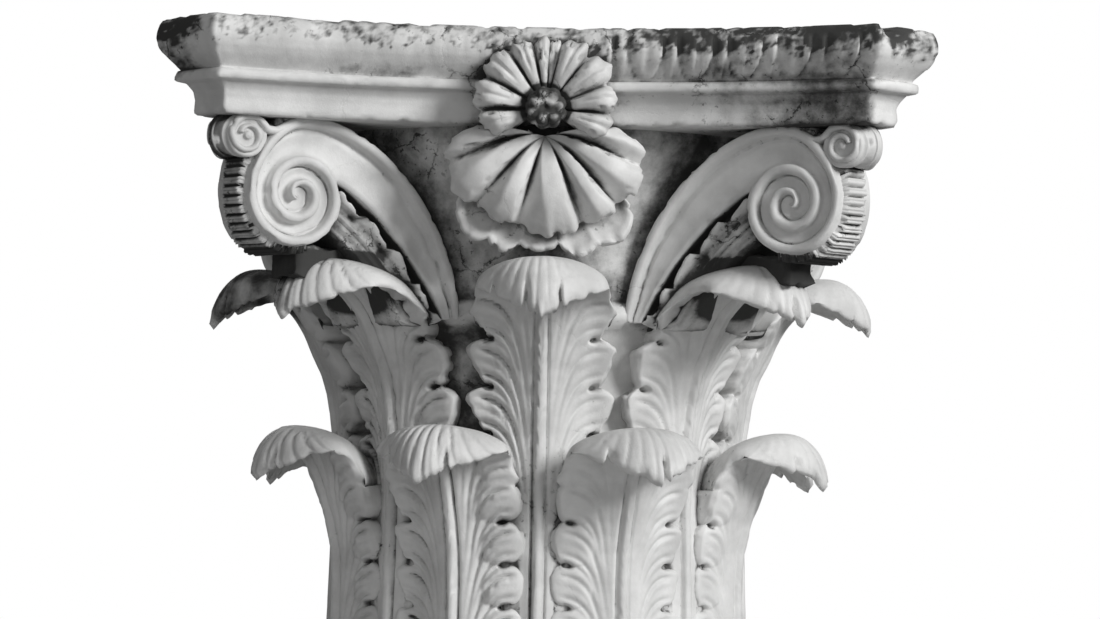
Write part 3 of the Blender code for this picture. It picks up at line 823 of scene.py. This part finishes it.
def tendril_path(share):
    """The strip's middle line, towards the bell, and up, from the volute's eye."""
    path = [
        (0, 1.2, 7.12), (0.08, -0.3, 6.9), (0.16, -1.5, 6.3), (0.23, -2.6, 5.85), (0.28, -3.3, 5.92),
        (0.33, -3.85, 6.4), (0.38, -4.4, 6.88), (CURL_START, -5.3, 7.07),
    ]
    x, y = along_table(path, share)
    turned = np.maximum(share - CURL_START, 0) / (1 - CURL_START)
    angle = math.pi / 2 + math.tau * 1.2 * turned
    radius = 1.8 - 1.05 * turned
    curled = share > CURL_START
    centre_x, centre_y = SMALL_SCROLL_CENTRE
    x = np.where(curled, centre_x + radius * np.cos(angle), x)
    return x, np.where(curled, centre_y + radius * np.sin(angle), y)


def tendril_mesh():
    """The strip that leaves the rim of the volute in an S and curls up as the small scroll."""
    # Place round it, sideways and depth
    section = [
        (0, 0.0, 1.2), (0.2, -1.0, 1.2), (0.34, -0.95, 0.25), (0.5, 0.0, -0.05), (0.66, 0.95, 0.25),
        (0.8, 1.0, 1.2), (1, 0.0, 1.2),
    ]

    def place(row, column):
        x, y = tendril_path(row)
        x1, y1 = tendril_path(row - 0.004)
        x2, y2 = tendril_path(np.minimum(row + 0.004, 1.004))
        length = np.maximum(np.hypot(x2 - x1, y2 - y1), 1e-6)
        side, depth = along_table(section, column)
        side = side * TENDRIL_HALF_WIDTH * (1 - 0.35 * row) / length
        return volute_space(x - side * (y2 - y1), y + side * (x2 - x1), depth)

    return closed(mirrored(woven(110, 12, place)))


# ---- Ornaments at the middle of each side ----

PALMETTE_TOP = 47.9
PALMETTE_BACK = 19.0
FLOWER_HEIGHT = 50.2
HANGING, STANDING = 1, -1


def fan_mesh(centre, back, ribs, section, edge, lift, valley, crease, lean, ragged, seed, rows, columns):
    """A fan of fat fleshy ribs about centre.

    ribs are the angles of the valleys between the ribs at the fan's edge, which spread wider near
    its centre by the share valley. section's rows are (share of the radius, front, depth of a
    valley, half width of a valley as a share of a rib). lift is 1 where the fan hangs down and -1
    where it stands up. crease is the depth of the fold along each rib's middle. lean is 0 where a
    rib's flanks are alike and 1 where its left one is a long slope and its right one a wall.
    """
    ribs = np.array(ribs, float)
    tall = smooth(10, 13, np.append(np.diff(ribs), 0))
    face = 0.84  # share of the mesh's columns that are on the fan's face

    def place(row, column):
        angle = blend(ribs[0], ribs[-1], row)
        share = np.minimum(column / face, 1)
        leaning = angle / (1 + valley * np.exp(-share / 0.3))
        lobe = np.interp(leaning, ribs, np.arange(len(ribs)))
        flank = lobe % 1
        front, depth, half = along_table(section, share)
        rib = smooth(0, half * (1 + lean), flank) * smooth(1, 1 - half * (1 - 0.7 * lean), flank)
        rib *= tall[np.floor(lobe).astype(int)]
        rounded = 1 - dome(2 * flank - 1)
        fold = crease * mound(0.5, 0.06, flank) * smooth(0.45, 0.7, share)
        front = front - depth * (0.65 * (1 - rib) + 0.5 * rounded) - fold
        beyond = limited((column - face) / (1 - face))
        cut = 0.04 * (1 - rib) + 0.06 * rounded
        chips = ruffle(stacked(angle / 5, angle * 0 + seed, share * 0), 1.0, seed)
        reach = edge(angle) * (1 - cut * share + ragged * chips * smooth(0.6, 1, share)) * share
        front = blend(front, back, beyond**1.3)
        reach = reach * (1 - 0.35 * beyond)
        radians = np.radians(angle)
        return stacked(reach * np.sin(radians), -front, centre - lift * reach * np.cos(radians))

    return closed(woven(rows, columns, place))


def palmette_mesh(seed):
    """The shell-like leaf that hangs below the abacus."""
    section = [
        (0, 26.8, 0.0, 0.1), (0.1, 27.5, 0.2, 0.12), (0.35, 28.9, 1.5, 0.18), (0.65, 29.3, 1.7, 0.26),
        (0.88, 28.6, 1.5, 0.3), (1.0, 27.4, 1.0, 0.3),
    ]
    ribs = (-99, -73, -44, -16, 24, 46, 72, 99)

    def edge(angle):
        bulge = 0.6 * mound(62, 24, np.abs(angle)) - 2.8 * smooth(78, 100, np.abs(angle))
        return 9.7 + bulge - 0.4 * mound(-28, 12, angle)

    shape = dict(lift=HANGING, valley=0.55, crease=0.0, lean=0.7, ragged=0.03, rows=150, columns=40)
    return fan_mesh(PALMETTE_TOP, PALMETTE_BACK, ribs, section, edge, seed=seed, **shape)


def under_palmette_mesh(seed):
    """The wavy second tier of the hanging leaf, behind and below the first."""
    section = [
        (0, 22.0, 0.0, 0.2), (0.6, 24.8, 0.4, 0.2), (0.85, 26.0, 0.7, 0.2), (0.94, 26.7, 0.8, 0.2),
        (1.0, 26.4, 0.8, 0.2),
    ]
    # Angle, half width and height of each lobe
    lobes = ((-41, 14, 2.0), (-21, 9, 1.6), (-3, 10, 0.7), (19, 10, 1.8), (39, 15, 2.4))

    def edge(angle):
        places = [(tall, (angle - at) / wide) for at, wide, tall in lobes]
        return 10.4 + np.max([tall * dome(x) for tall, x in places], axis=0)

    shape = dict(lift=HANGING, valley=0.0, crease=0.0, lean=0.0, ragged=0.02, rows=100, columns=28)
    return fan_mesh(PALMETTE_TOP, PALMETTE_BACK, (-56, 55), section, edge, seed=seed, **shape)


def flower_mesh(seed):
    """The flower on the abacus: fleshy two-lobed petals that fan upwards from the boss."""
    section = [
        (0, 28.6, 0.0, 0.1), (0.2, 29.2, 0.3, 0.1), (0.45, 30.2, 1.1, 0.14), (0.75, 30.8, 1.4, 0.18),
        (0.92, 30.3, 1.2, 0.22), (1.0, 29.2, 0.8, 0.24),
    ]
    ribs = (-121, -92, -62, -33, -11, 3, 13, 38, 67, 93, 121)

    def edge(angle):
        return 6.9 - 0.9 * smooth(85, 115, np.abs(angle)) + 0.35 * mound(45, 18, np.abs(angle))

    shape = dict(lift=STANDING, valley=0.0, crease=0.25, lean=0.2, ragged=0.05, rows=150, columns=36)
    return fan_mesh(FLOWER_HEIGHT, 25.0, ribs, section, edge, seed=seed, **shape)


def boss_mesh():
    """The flower's boss: a ring of beads round a drilled centre."""
    bm = bmesh.new()
    bmesh.ops.create_uvsphere(bm, u_segments=56, v_segments=36, radius=1.0)
    beads = [(0.95, math.tau * k / 7) for k in range(7)]  # off the middle, and round it
    beads += [(1.55, math.tau * (k + 0.5) / 9) for k in range(9)]
    centres = [
        Vector((math.sin(off) * math.cos(turn), math.sin(off) * math.sin(turn), math.cos(off)))
        for off, turn in beads
    ]
    for vertex in bm.verts:
        away = min(vertex.co.angle(centre) for centre in centres)
        bead = math.sqrt(max(0.0, 1 - (away / 0.36) ** 2))
        off = vertex.co.angle(Vector((0, 0, 1)))
        vertex.co *= 1.62 + 0.42 * bead - 0.8 * math.exp(-((off / 0.3) ** 2))
    bmesh.ops.transform(bm, matrix=Matrix.Rotation(math.pi / 2, 4, "X"), verts=bm.verts)
    bmesh.ops.translate(bm, vec=(0, -30.2, FLOWER_HEIGHT), verts=bm.verts)
    return closed(bm)


# ---- Material ----


def linear(colour):
    """A linear RGBA colour from an sRGB hex value."""
    channels = [int(colour[k : k + 2], 16) / 255 for k in (1, 3, 5)]
    return (*[c / 12.92 if c <= 0.04045 else ((c + 0.055) / 1.055) ** 2.4 for c in channels], 1)


def add(tree, kind, inputs=(), output=0, **settings):
    """An output of a new node of this kind, with its inputs set or linked, by name or by place."""
    node = tree.nodes.new("ShaderNode" + kind)
    for name, value in settings.items():
        setattr(node, name, value)
    for name, value in inputs.items() if isinstance(inputs, dict) else enumerate(inputs):
        if isinstance(value, bpy.types.NodeSocket):
            tree.links.new(value, node.inputs[name])
        else:
            node.inputs[name].default_value = value
    return node.outputs[output] if node.outputs else None


# Name, size in millimetres, detail and harshness
NOISES = (
    ("clouds", 70, 5, 0.6),  # how white the stone is, from block to block of its crystals
    ("stain", 22, 8, 0.68),  # the ragged border of the soot
    ("specks", 9, 3, 0.6),  # lichen, in specks half that size
    ("colonies", 90, 2, 0.5),  # where lichen and cracks are
    ("grit", 4, 5, 0.7),  # pits left by rain
    ("crystals", 1.2, 1, 0.5),  # the sugary grain
)
CRACK_SPACING = 110  # millimetres
CRACK_HALF_WIDTH = 0.75 / CRACK_SPACING  # 1.5 mm across, drawn coarser than real so that it shows


def bare_tree(data):
    """The node tree of a material or a world, without the nodes it comes with."""
    data.use_nodes = True
    data.node_tree.nodes.clear()
    return data.node_tree


def weathered_marble(finish):
    """White statuary marble, chiselled and rubbed, then outdoors for centuries.

    Rain keeps the open faces chalky and faintly clouded. Soot settles in the hollows as a ragged
    dark crust, with specks of lichen round it and hairline cracks here and there; the same dark
    colour is painted as shade into recesses and onto sides turned from the light. Where it's
    washed the crystals shine a little; the crust and the painted shade are matt.
    """
    material = bpy.data.materials.new("weathered_marble")
    tree = bare_tree(material)
    place = add(tree, "TexCoord", output="Object")
    # Soot, and painted shade, worked out at each point
    grime_and_painted_shade = add(tree, "Attribute", output="Fac", attribute_name="grime_and_painted_shade")
    noises, masks = {}, {}
    for name, size, detail, harshness in NOISES:
        inputs = {"Vector": place, "Scale": 1000 / size, "Detail": detail, "Roughness": harshness}
        noises[name] = add(tree, "TexNoise", inputs)
    ragged = noises["stain"].node.outputs["Color"]
    bent = add(tree, "VectorMath", (ragged, (0.03, 0.03, 0.03), place), operation="MULTIPLY_ADD")
    spacing = {"Vector": bent, "Scale": 1000 / CRACK_SPACING}
    plates = add(tree, "TexVoronoi", spacing, "Distance", feature="DISTANCE_TO_EDGE")
    for name, source, *limits in (
        # From this value to that, and what the two become where it isn't 0 and 1
        ("lines", plates, CRACK_HALF_WIDTH, 2 * CRACK_HALF_WIDTH, 1, 0),
        ("cracked", noises["colonies"], 0.5, 0.58),
        ("specks", noises["specks"], 0.6, 0.68),
        ("specked", noises["colonies"], 0.42, 0.56),
        ("clouds", noises["clouds"], 0.3, 0.7),
    ):
        masks[name] = add(tree, "MapRange", (source, *limits), interpolation_type="SMOOTHSTEP")
    cracks = add(tree, "Math", (masks["lines"], masks["cracked"]), operation="MULTIPLY")
    specks = add(tree, "Math", (masks["specks"], masks["specked"]), operation="MULTIPLY")
    soiled_and_shaded, height = grime_and_painted_shade, noises["grit"]
    for layer, share in ((noises["stain"], 0.9), (specks, 0.3), (cracks, 0.25)):
        soiled_and_shaded = add(tree, "Math", (layer, share, soiled_and_shaded), operation="MULTIPLY_ADD")
    for layer, share in ((noises["crystals"], 0.3), (cracks, -0.8)):
        height = add(tree, "Math", (layer, share, height), operation="MULTIPLY_ADD")
    # The soot colour covers the stone where soot lies and where shade is painted.
    cover = add(tree, "MapRange", (soiled_and_shaded, 0.6, 1.4), interpolation_type="SMOOTHSTEP")
    clouded = {0: masks["clouds"], 6: finish.dull[:], 7: finish.whiter[:]}
    clean = add(tree, "Mix", clouded, 2, data_type="RGBA")
    colour = add(tree, "Mix", {0: cover, 6: clean, 7: finish.soot_and_painted_shade[:]}, 2, data_type="RGBA")
    bump = add(tree, "Bump", {"Height": height, "Strength": 0.4, "Distance": 0.0012})
    matt = add(tree, "MapRange", (cover, 0, 1, 0.55, 0.85), interpolation_type="SMOOTHSTEP")
    stone = {"Base Color": colour, "Roughness": matt, "Normal": bump, "IOR": 1.49}
    add(tree, "OutputMaterial", {"Surface": add(tree, "BsdfPrincipled", stone)})
    return material


def pale_plaster(colour):
    """A floor of trowelled plaster: matt and faintly blotched, so that it stays behind the stone."""
    material = bpy.data.materials.new("pale_plaster_floor")
    material.use_nodes = True
    tree = material.node_tree
    shader = tree.nodes["Principled BSDF"]
    shader.inputs["Roughness"].default_value = 0.9
    place = add(tree, "TexCoord", output="Object")
    blotches = add(tree, "TexNoise", {"Vector": place, "Scale": 1000 / 160, "Detail": 4.0})
    darker = [0.94 * channel for channel in colour[:3]] + [1]
    tone = add(tree, "Mix", {0: blotches, 6: darker, 7: colour[:]}, 2, data_type="RGBA")
    tree.links.new(tone, shader.inputs["Base Color"])
    return material


# ---- Pieces ----

SURFACES = {}


def finished(name, parts, wear, seed):
    """Joins and weathers a piece's parts, and keeps them until their grime and painted shade are worked
    out.
    """
    SURFACES[name] = weathered(joined(parts), wear, seed)


def soot_and_painted_shade(name, points):
    """Soot at each point of a piece besides what its hollows hold, with painted shade on parts turned from
    the light and painted light on some that face it; washed stone has less than none.
    """
    x, y, z = points.T
    around = np.degrees(np.arctan2(x, -y))
    patchy = ruffle(points, 6.0, 7) + 0.5 * ruffle(points, 2.0, 8)
    fine = ruffle(points, 0.8, 9)
    if name == "bell":
        upper = smooth(32.3, 33.5, z) * (0.4 + 0.2 * patchy)  # above the collar
        painted_light_right = smooth(4, 12, around) * smooth(75, 60, around)  # painted light, right of the front where the light falls
        lower = 0.45 + 0.25 * patchy + 0.1 * fine - 1.35 * painted_light_right  # soot between the leaves, and painted shade there
        return upper + smooth(31, 29.5, z) * lower
    if name == "abacus":
        rise = (z - BELL_HEIGHT - OVOLO_FOOT) / OVOLO_RISE
        finer = ruffle(points, 0.35, 10)
        ragged = 0.12 * patchy + 0.16 * fine + 0.2 * finer
        crust = smooth(0.52, 0.85, rise + ragged) * (0.48 + 0.3 * patchy + 0.3 * fine + 0.4 * finer)
        bed = smooth(8.8, 8.97, z - BELL_HEIGHT)
        crust = blend(crust, 0.7, bed)  # dust lies evenly on the bed
        ovolo = (0.14 + 0.12 * smooth(0, 6, x) + 0.2 * fine) * smooth(0, 0.1, rise)
        ovolo = ovolo * smooth(31.5, 29.5, x)
        foot = 0.6 * mound(0.12, 0.16, rise) * smooth(-0.1, 0.5, patchy + 0.4 * mound(-12, 9, x) - 0.3)
        left = (0.75 + 0.3 * patchy + 0.25 * finer) * smooth(-31, -34, x)  # crust at the tip of the horn, and painted shade on its left-facing side
        blotches = 0.25 * smooth(0, 14, x) * (0.6 + patchy) * smooth(-24, -26, y)
        # Painted shade: the right end of the hollow side turns from the light, darker most of all on the
        # fascia.
        right = smooth(5, 28, x) * smooth(-25, -28, y) * smooth(31.5, 29.5, x)
        shaded = (0.28 + 0.62 * smooth(0, -0.1, rise)) * right
        horn = (0.5 + 0.5 * fine) * smooth(30.5, 32, x) * smooth(0.2, 0.5, rise)
        return crust + ovolo + foot + left + blotches + shaded + horn
    if name == "flowers":
        from_boss = np.hypot(np.minimum(np.abs(x), np.abs(y)), z - FLOWER_HEIGHT)
        return 0.3 * patchy + smooth(2.6, 2.0, from_boss) * (0.95 + 0.6 * fine)
    if name in ("volutes", "small_scrolls"):
        # Places as in volute_space, and along the diagonal; every volute is turned to the front
        out, side = np.maximum(np.abs(x), np.abs(y)), np.minimum(np.abs(x), np.abs(y))
        cosine, sine = math.cos(VOLUTE_YAW), math.sin(VOLUTE_YAW)
        right, front = side - VOLUTE_CENTRE[0], VOLUTE_CENTRE[1] - out
        behind, inwards = right * sine + front * cosine, front * sine - right * cosine
        from_diagonal, far = out - side, np.hypot(x, y)
        bolster = smooth(0.7, 1.3, behind) * smooth(36, 38, far)
        # Soot and painted shade on the slender leaf under the band.
        calyx = smooth(1.2, 1.9, behind) * smooth(1.0, 3.0, inwards) * smooth(36, 35, far)
        # Painted shadow under the volutes, over the rough bracket.
        beneath = smooth(6.5, 5.5, from_diagonal) * smooth(37.2, 36.6, z) * smooth(31, 33, z)
        # Washed faces are lighter; the faces on the right half get painted shade, as they turn from the
        # light.
        face = (0.12 * (x > 0) - 0.35) * smooth(1.3, 0.9, behind) * smooth(36.2, 36.8, z)
        # Painted shade on the bolsters and scrolls of the left side, which turn from the light; a little
        # soot on the right.
        left_side = 1.0 if name == "small_scrolls" else 0.6
        sides = blend(left_side, 0.1, x > 0) * bolster
        return sides + 0.5 * calyx + 1.3 * beneath + face + 0.1 * patchy
    if name in ("upper_leaves", "corner_leaves"):
        # Soot and painted shade on the leaves of the left side, which turn from the light, most of all on
        # their hoods.
        shoulder = 0.8 * smooth(-22, -27, x) * smooth(30, 32, z) + 0.25 * smooth(-22, -25, x)
        # Painted light: the leaves on the right made lighter where the light falls on them.
        whiter = -0.2 * smooth(12, 18, x)
        return shoulder * (0.9 + 0.7 * patchy) + whiter + 0.1 * patchy
    return 0.1 * patchy


SKY_REACH = 9.0  # stone further away than this hides no sky
QUICK_RAYS, RAYS = 6, 14  # directions in which each point looks for the sky


def grime_and_painted_shade(surface, tree, rays):
    """Soot and dirt, and painted shade, at each point, from how much sky is hidden there and how deep its
    groove is.
    """
    points, normals = surface.points, read(surface.mesh, "normal")
    golden = math.pi * (3 - math.sqrt(5))
    height = 1 - (np.arange(rays) + 0.5) * 2 / rays
    ring = dome(height)
    turn = golden * np.arange(rays)
    directions = np.stack([ring * np.cos(turn), ring * np.sin(turn), height], axis=-1)
    directions = [Vector(direction) for direction in directions]
    hidden = np.zeros(len(points))
    for k, (point, normal) in enumerate(zip(points, normals)):
        n = Vector(normal)
        start = Vector(point) + n * 0.12
        total = blocked = 0.0
        for direction in directions:
            facing = direction.dot(n)
            if facing > 0.1:
                total += facing
                distance = tree.ray_cast(start, direction, SKY_REACH)[3]
                if distance is not None:
                    blocked += facing * (1 - distance / SKY_REACH)
        hidden[k] = blocked / total if total else 0
    hidden = surface.average(hidden, 3)
    groove = smooth(0.0, 0.12, surface.average(surface.hollow(3), 1))
    # Hidden sky darkens the stone as painted shade; the grooves hold soot and painted shade as well.
    return 1.25 * hidden + 0.38 * groove - 0.28


def dress(finish):
    """Works out the grime and painted shade and makes every piece an object of the frame's root body."""
    vertices, polygons, first = [], [], 0
    for surface in SURFACES.values():
        vertices += [Vector(p) for p in surface.points]
        polygons += [[first + v for v in face.vertices] for face in surface.mesh.polygons]
        first += len(surface.points)
    tree = BVHTree.FromPolygons(vertices, polygons)
    marble = weathered_marble(finish)
    for name, surface in SURFACES.items():
        rays = RAYS
        values = grime_and_painted_shade(surface, tree, rays) + soot_and_painted_shade(name, surface.points)
        values += finish.more_soot
        attribute = surface.mesh.attributes.new("grime_and_painted_shade", "FLOAT", "POINT")
        attribute.data.foreach_set("value", values.astype(np.float32))
        surface.mesh.vertices.foreach_set("co", (surface.points * MODULE).ravel())
        surface.mesh.update()
        surface.mesh.shade_smooth()
        surface.mesh.materials.append(marble)
        piece = placed(name, surface.mesh)
        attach(piece, "root")
        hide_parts(BLOCK)


def colour_of(name, description, colour):
    """A colour to choose in the panel, given as sRGB hex."""
    return bpy.props.FloatVectorProperty(
        name=name, description=description, subtype="COLOR", size=4, min=0, max=1, default=linear(colour)
    )


def light_power(name, description, watts):
    """The power of a light to choose in the panel."""
    return bpy.props.FloatProperty(
        name=name, description=description, unit="POWER", default=watts, min=0.0
    )


class CapitalFinish(bpy.types.PropertyGroup):
    """How the marble looks and how worn it is"""

    whiter: colour_of("Washed stone", "The marble's whitest clouds, where rain keeps it clean", "#E2E2E1")
    dull: colour_of("Dull stone", "The marble's duller clouds", "#C9C9C8")
    # The colour of the crust of soot, and of the painted shade as well
    soot_and_painted_shade: colour_of("Soot", "The crust of soot in the recesses", "#3A3A39")
    more_soot: bpy.props.FloatProperty(
        name="More soot",
        description="Soot added over the whole stone, or taken away where it's negative", default=0.0,
        min=-1.0, max=1.0,
    )
    wear: bpy.props.FloatProperty(
        name="Wear", description="How uneven and chipped the surface is; 0 is fresh from the chisel",
        subtype="FACTOR", default=1.0, min=0.0, max=1.5,
    )


class CapitalStage(bpy.types.PropertyGroup):
    """The floor and the lights the capital is shown with"""

    floor_radius: bpy.props.FloatProperty(
        name="Floor radius", description="Radius of the round floor that the capital stands on",
        unit="LENGTH", default=0.85, min=0.6,
    )
    floor_colour: colour_of("Floor colour", "The plaster floor", "#C8C8C8")
    key_power: light_power("Key light", "Power of the light from the right", 270.0)
    fill_power: light_power("Fill light", "Power of the soft light from the front", 25.0)
    back_power: light_power("Back light", "Power of the soft light on the far sides", 60.0)
    sky: bpy.props.FloatProperty(
        name="Sky", description="Strength of the even light from all round", default=0.16, min=0.0,
    )


class CAPITAL_OT_bell(bpy.types.Operator):
    """Turns the bell that carries all the carving"""

    bl_idname = "capital.bell"
    bl_label = "Bell"

    def execute(self, context):
        wear = context.scene.capital_finish.wear
        finished("bell", [bell_mesh()], wear, 1)
        return {"FINISHED"}


class CAPITAL_OT_abacus(bpy.types.Operator):
    """Moulds the four-horned slab on top"""

    bl_idname = "capital.abacus"
    bl_label = "Abacus"

    def execute(self, context):
        wear = context.scene.capital_finish.wear
        finished("abacus", [abacus_mesh()], 0.4 * wear, 2)
        return {"FINISHED"}


class CAPITAL_OT_leaves(bpy.types.Operator):
    """Carves the two rows of acanthus leaves"""

    bl_idname = "capital.leaves"
    bl_label = "Leaves"

    def execute(self, context):
        stone_wear = context.scene.capital_finish.wear
        rows = {
            "lower_leaves_right": (LOWER_LEAF, 22.5), "lower_leaves_left": (LOWER_LEAF, 67.5),
            "upper_leaves": (UPPER_LEAF, 0), "corner_leaves": (CORNER_LEAF, 45),
        }
        for seed, (name, (leaf, first)) in enumerate(rows.items()):
            parts = []
            for k in range(SIDES):
                azimuth = first + 90 * k
                slits = (-0.62 + 0.17 * ((k + seed) % 4), 0.06 + 0.3 * (k % 2))
                if azimuth == 0:
                    wear, bold, ragged, slits = (0.0, 0.7), (0.0, 0.0), 0.1, (-0.72, -0.24, 0.27)
                elif azimuth > 180:
                    wear, bold, ragged = (0.0, 0.1), (0.0, 1.0), 0.35
                else:
                    wear, bold, ragged = (0.7, 0.7), (0.45, 0.1), 0.5
                if name == "corner_leaves":
                    ragged, bold = 0.3 * ragged, (0.0, bold[1] / 2)
                    slits = slits[:1] if azimuth < 180 else ()
                parts.append(leaf_mesh(leaf, azimuth, wear, bold, ragged, slits, 10 * seed + k))
            finished(name, parts, 0.65 * stone_wear, 20 + seed)
        return {"FINISHED"}


class CAPITAL_OT_volutes(bpy.types.Operator):
    """Carves the corner volutes and the little scrolls above them"""

    bl_idname = "capital.volutes"
    bl_label = "Volutes"

    def execute(self, context):
        wear = context.scene.capital_finish.wear
        volutes, scrolls = [], []
        for k in range(SIDES):
            for mesh in (volute_mesh, bolster_mesh, bracket_mesh):
                volutes.append(swung(mesh(), 90 * k))
            scrolls += [swung(small_scroll_mesh(), 90 * k), swung(tendril_mesh(), 90 * k)]
        finished("volutes", volutes, 0.6 * wear, 31)
        finished("small_scrolls", scrolls, 0.5 * wear, 32)
        return {"FINISHED"}


class CAPITAL_OT_ornaments(bpy.types.Operator):
    """Carves the flower and the hanging palmette at the middle of each side"""

    bl_idname = "capital.ornaments"
    bl_label = "Ornaments"

    def execute(self, context):
        wear = context.scene.capital_finish.wear
        palmettes, flowers = [], []
        for k in range(SIDES):
            palmettes += [swung(palmette_mesh(k), 90 * k), swung(under_palmette_mesh(k + 4), 90 * k)]
            flowers += [swung(flower_mesh(k + 8), 90 * k), swung(boss_mesh(), 90 * k)]
        finished("palmettes", palmettes, wear, 41)
        finished("flowers", flowers, 1.4 * wear, 42)
        return {"FINISHED"}


class CAPITAL_OT_dress(bpy.types.Operator):
    """Soils the recesses, paints shade into them, and gives every piece its marble"""

    bl_idname = "capital.dress"
    bl_label = "Patina"

    def execute(self, context):
        dress(context.scene.capital_finish)
        return {"FINISHED"}


def placed(name, data):
    """A new object in the scene."""
    item = bpy.data.objects.new(name, data)
    bpy.context.scene.collection.objects.link(item)
    return item


def aimed(item, place, target, roll=0.0):
    """Puts a camera or a light at its place, turned to its target."""
    turn = (Vector(target) - Vector(place)).to_track_quat("-Z", "Y").to_matrix().to_4x4()
    item.matrix_world = Matrix.Translation(place) @ turn @ Matrix.Rotation(math.radians(roll), 4, "Z")


def white_studio(sky):
    """A world that is white to the camera and lights the stone with this strength."""
    world = bpy.data.worlds.new("white_studio")
    tree = bare_tree(world)
    seen = add(tree, "LightPath", output="Is Camera Ray")
    even, white = (add(tree, "Background", ((1, 1, 1, 1), strength)) for strength in (sky, 1.0))
    add(tree, "OutputWorld", {"Surface": add(tree, "MixShader", (seen, even, white))})
    return world


FOCAL_LENGTH, FILM_WIDTH = 131, 36  # millimetres
CAMERA_PLACE, CAMERA_TARGET, CAMERA_ROLL = (0, -6.0, 0.18), (0.012, 0, 0.496), 1.0
LIGHT_TARGET = (0, 0, 0.5)


class CAPITAL_OT_stage(bpy.types.Operator):
    """Sets the floor, lights and camera"""

    bl_idname = "capital.stage"
    bl_label = "Stage"

    def execute(self, context):
        scene = context.scene
        stage = scene.capital_stage
        bm = bmesh.new()
        bmesh.ops.create_circle(bm, cap_ends=True, segments=96, radius=stage.floor_radius)
        mesh = bpy.data.meshes.new("floor")
        bm.to_mesh(mesh)
        bm.free()
        mesh.materials.append(pale_plaster(stage.floor_colour))
        floor = placed("floor", mesh)

        lens = bpy.data.cameras.new("camera")
        lens.lens, lens.sensor_width, lens.clip_end = FOCAL_LENGTH, FILM_WIDTH, 50
        scene.camera = placed("camera", lens)
        aimed(scene.camera, CAMERA_PLACE, CAMERA_TARGET, CAMERA_ROLL)

        scene.world = white_studio(stage.sky)
        lamps = {
            "key": ((4.1, -3.4, 2.7), 1.8, stage.key_power),
            "fill": ((-0.5, -5.0, 1.2), 3.0, stage.fill_power),
            "back": ((-1.5, 5.0, 2.2), 3.0, stage.back_power),
        }
        for name, (place, size, power) in lamps.items():
            lamp = bpy.data.lights.new(name, "AREA")
            lamp.size, lamp.energy = size, power
            aimed(placed(name, lamp), place, LIGHT_TARGET)
        scene.view_settings.view_transform = "Standard"
        return {"FINISHED"}


class CAPITAL_PT_panel(bpy.types.Panel):
    """Offers the finish, the stage and every step"""

    bl_idname = "CAPITAL_PT_panel"
    bl_label = "Corinthian capital"
    bl_space_type = "VIEW_3D"
    bl_region_type = "UI"
    bl_category = "Capital"

    def draw(self, context):
        scene = context.scene
        for group in (scene.capital_finish, scene.capital_stage):
            for name in type(group).__annotations__:
                self.layout.prop(group, name)
        for operator in OPERATORS:
            self.layout.operator(operator.bl_idname)


OPERATORS = (
    CAPITAL_OT_bell, CAPITAL_OT_abacus, CAPITAL_OT_leaves, CAPITAL_OT_volutes, CAPITAL_OT_ornaments,
    CAPITAL_OT_dress, CAPITAL_OT_stage,
)
CLASSES = (CapitalFinish, CapitalStage, *OPERATORS, CAPITAL_PT_panel)


def register():
    for kind in CLASSES:
        bpy.utils.register_class(kind)
    bpy.types.Scene.capital_finish = bpy.props.PointerProperty(type=CapitalFinish)
    bpy.types.Scene.capital_stage = bpy.props.PointerProperty(type=CapitalStage)


def unregister():
    del bpy.types.Scene.capital_stage, bpy.types.Scene.capital_finish
    for kind in reversed(CLASSES):
        bpy.utils.unregister_class(kind)


def main():
    register()
    for operator in OPERATORS:
        group, action = operator.bl_idname.split(".")
        getattr(getattr(bpy.ops, group), action)()


if __name__ == "__main__":
    main()
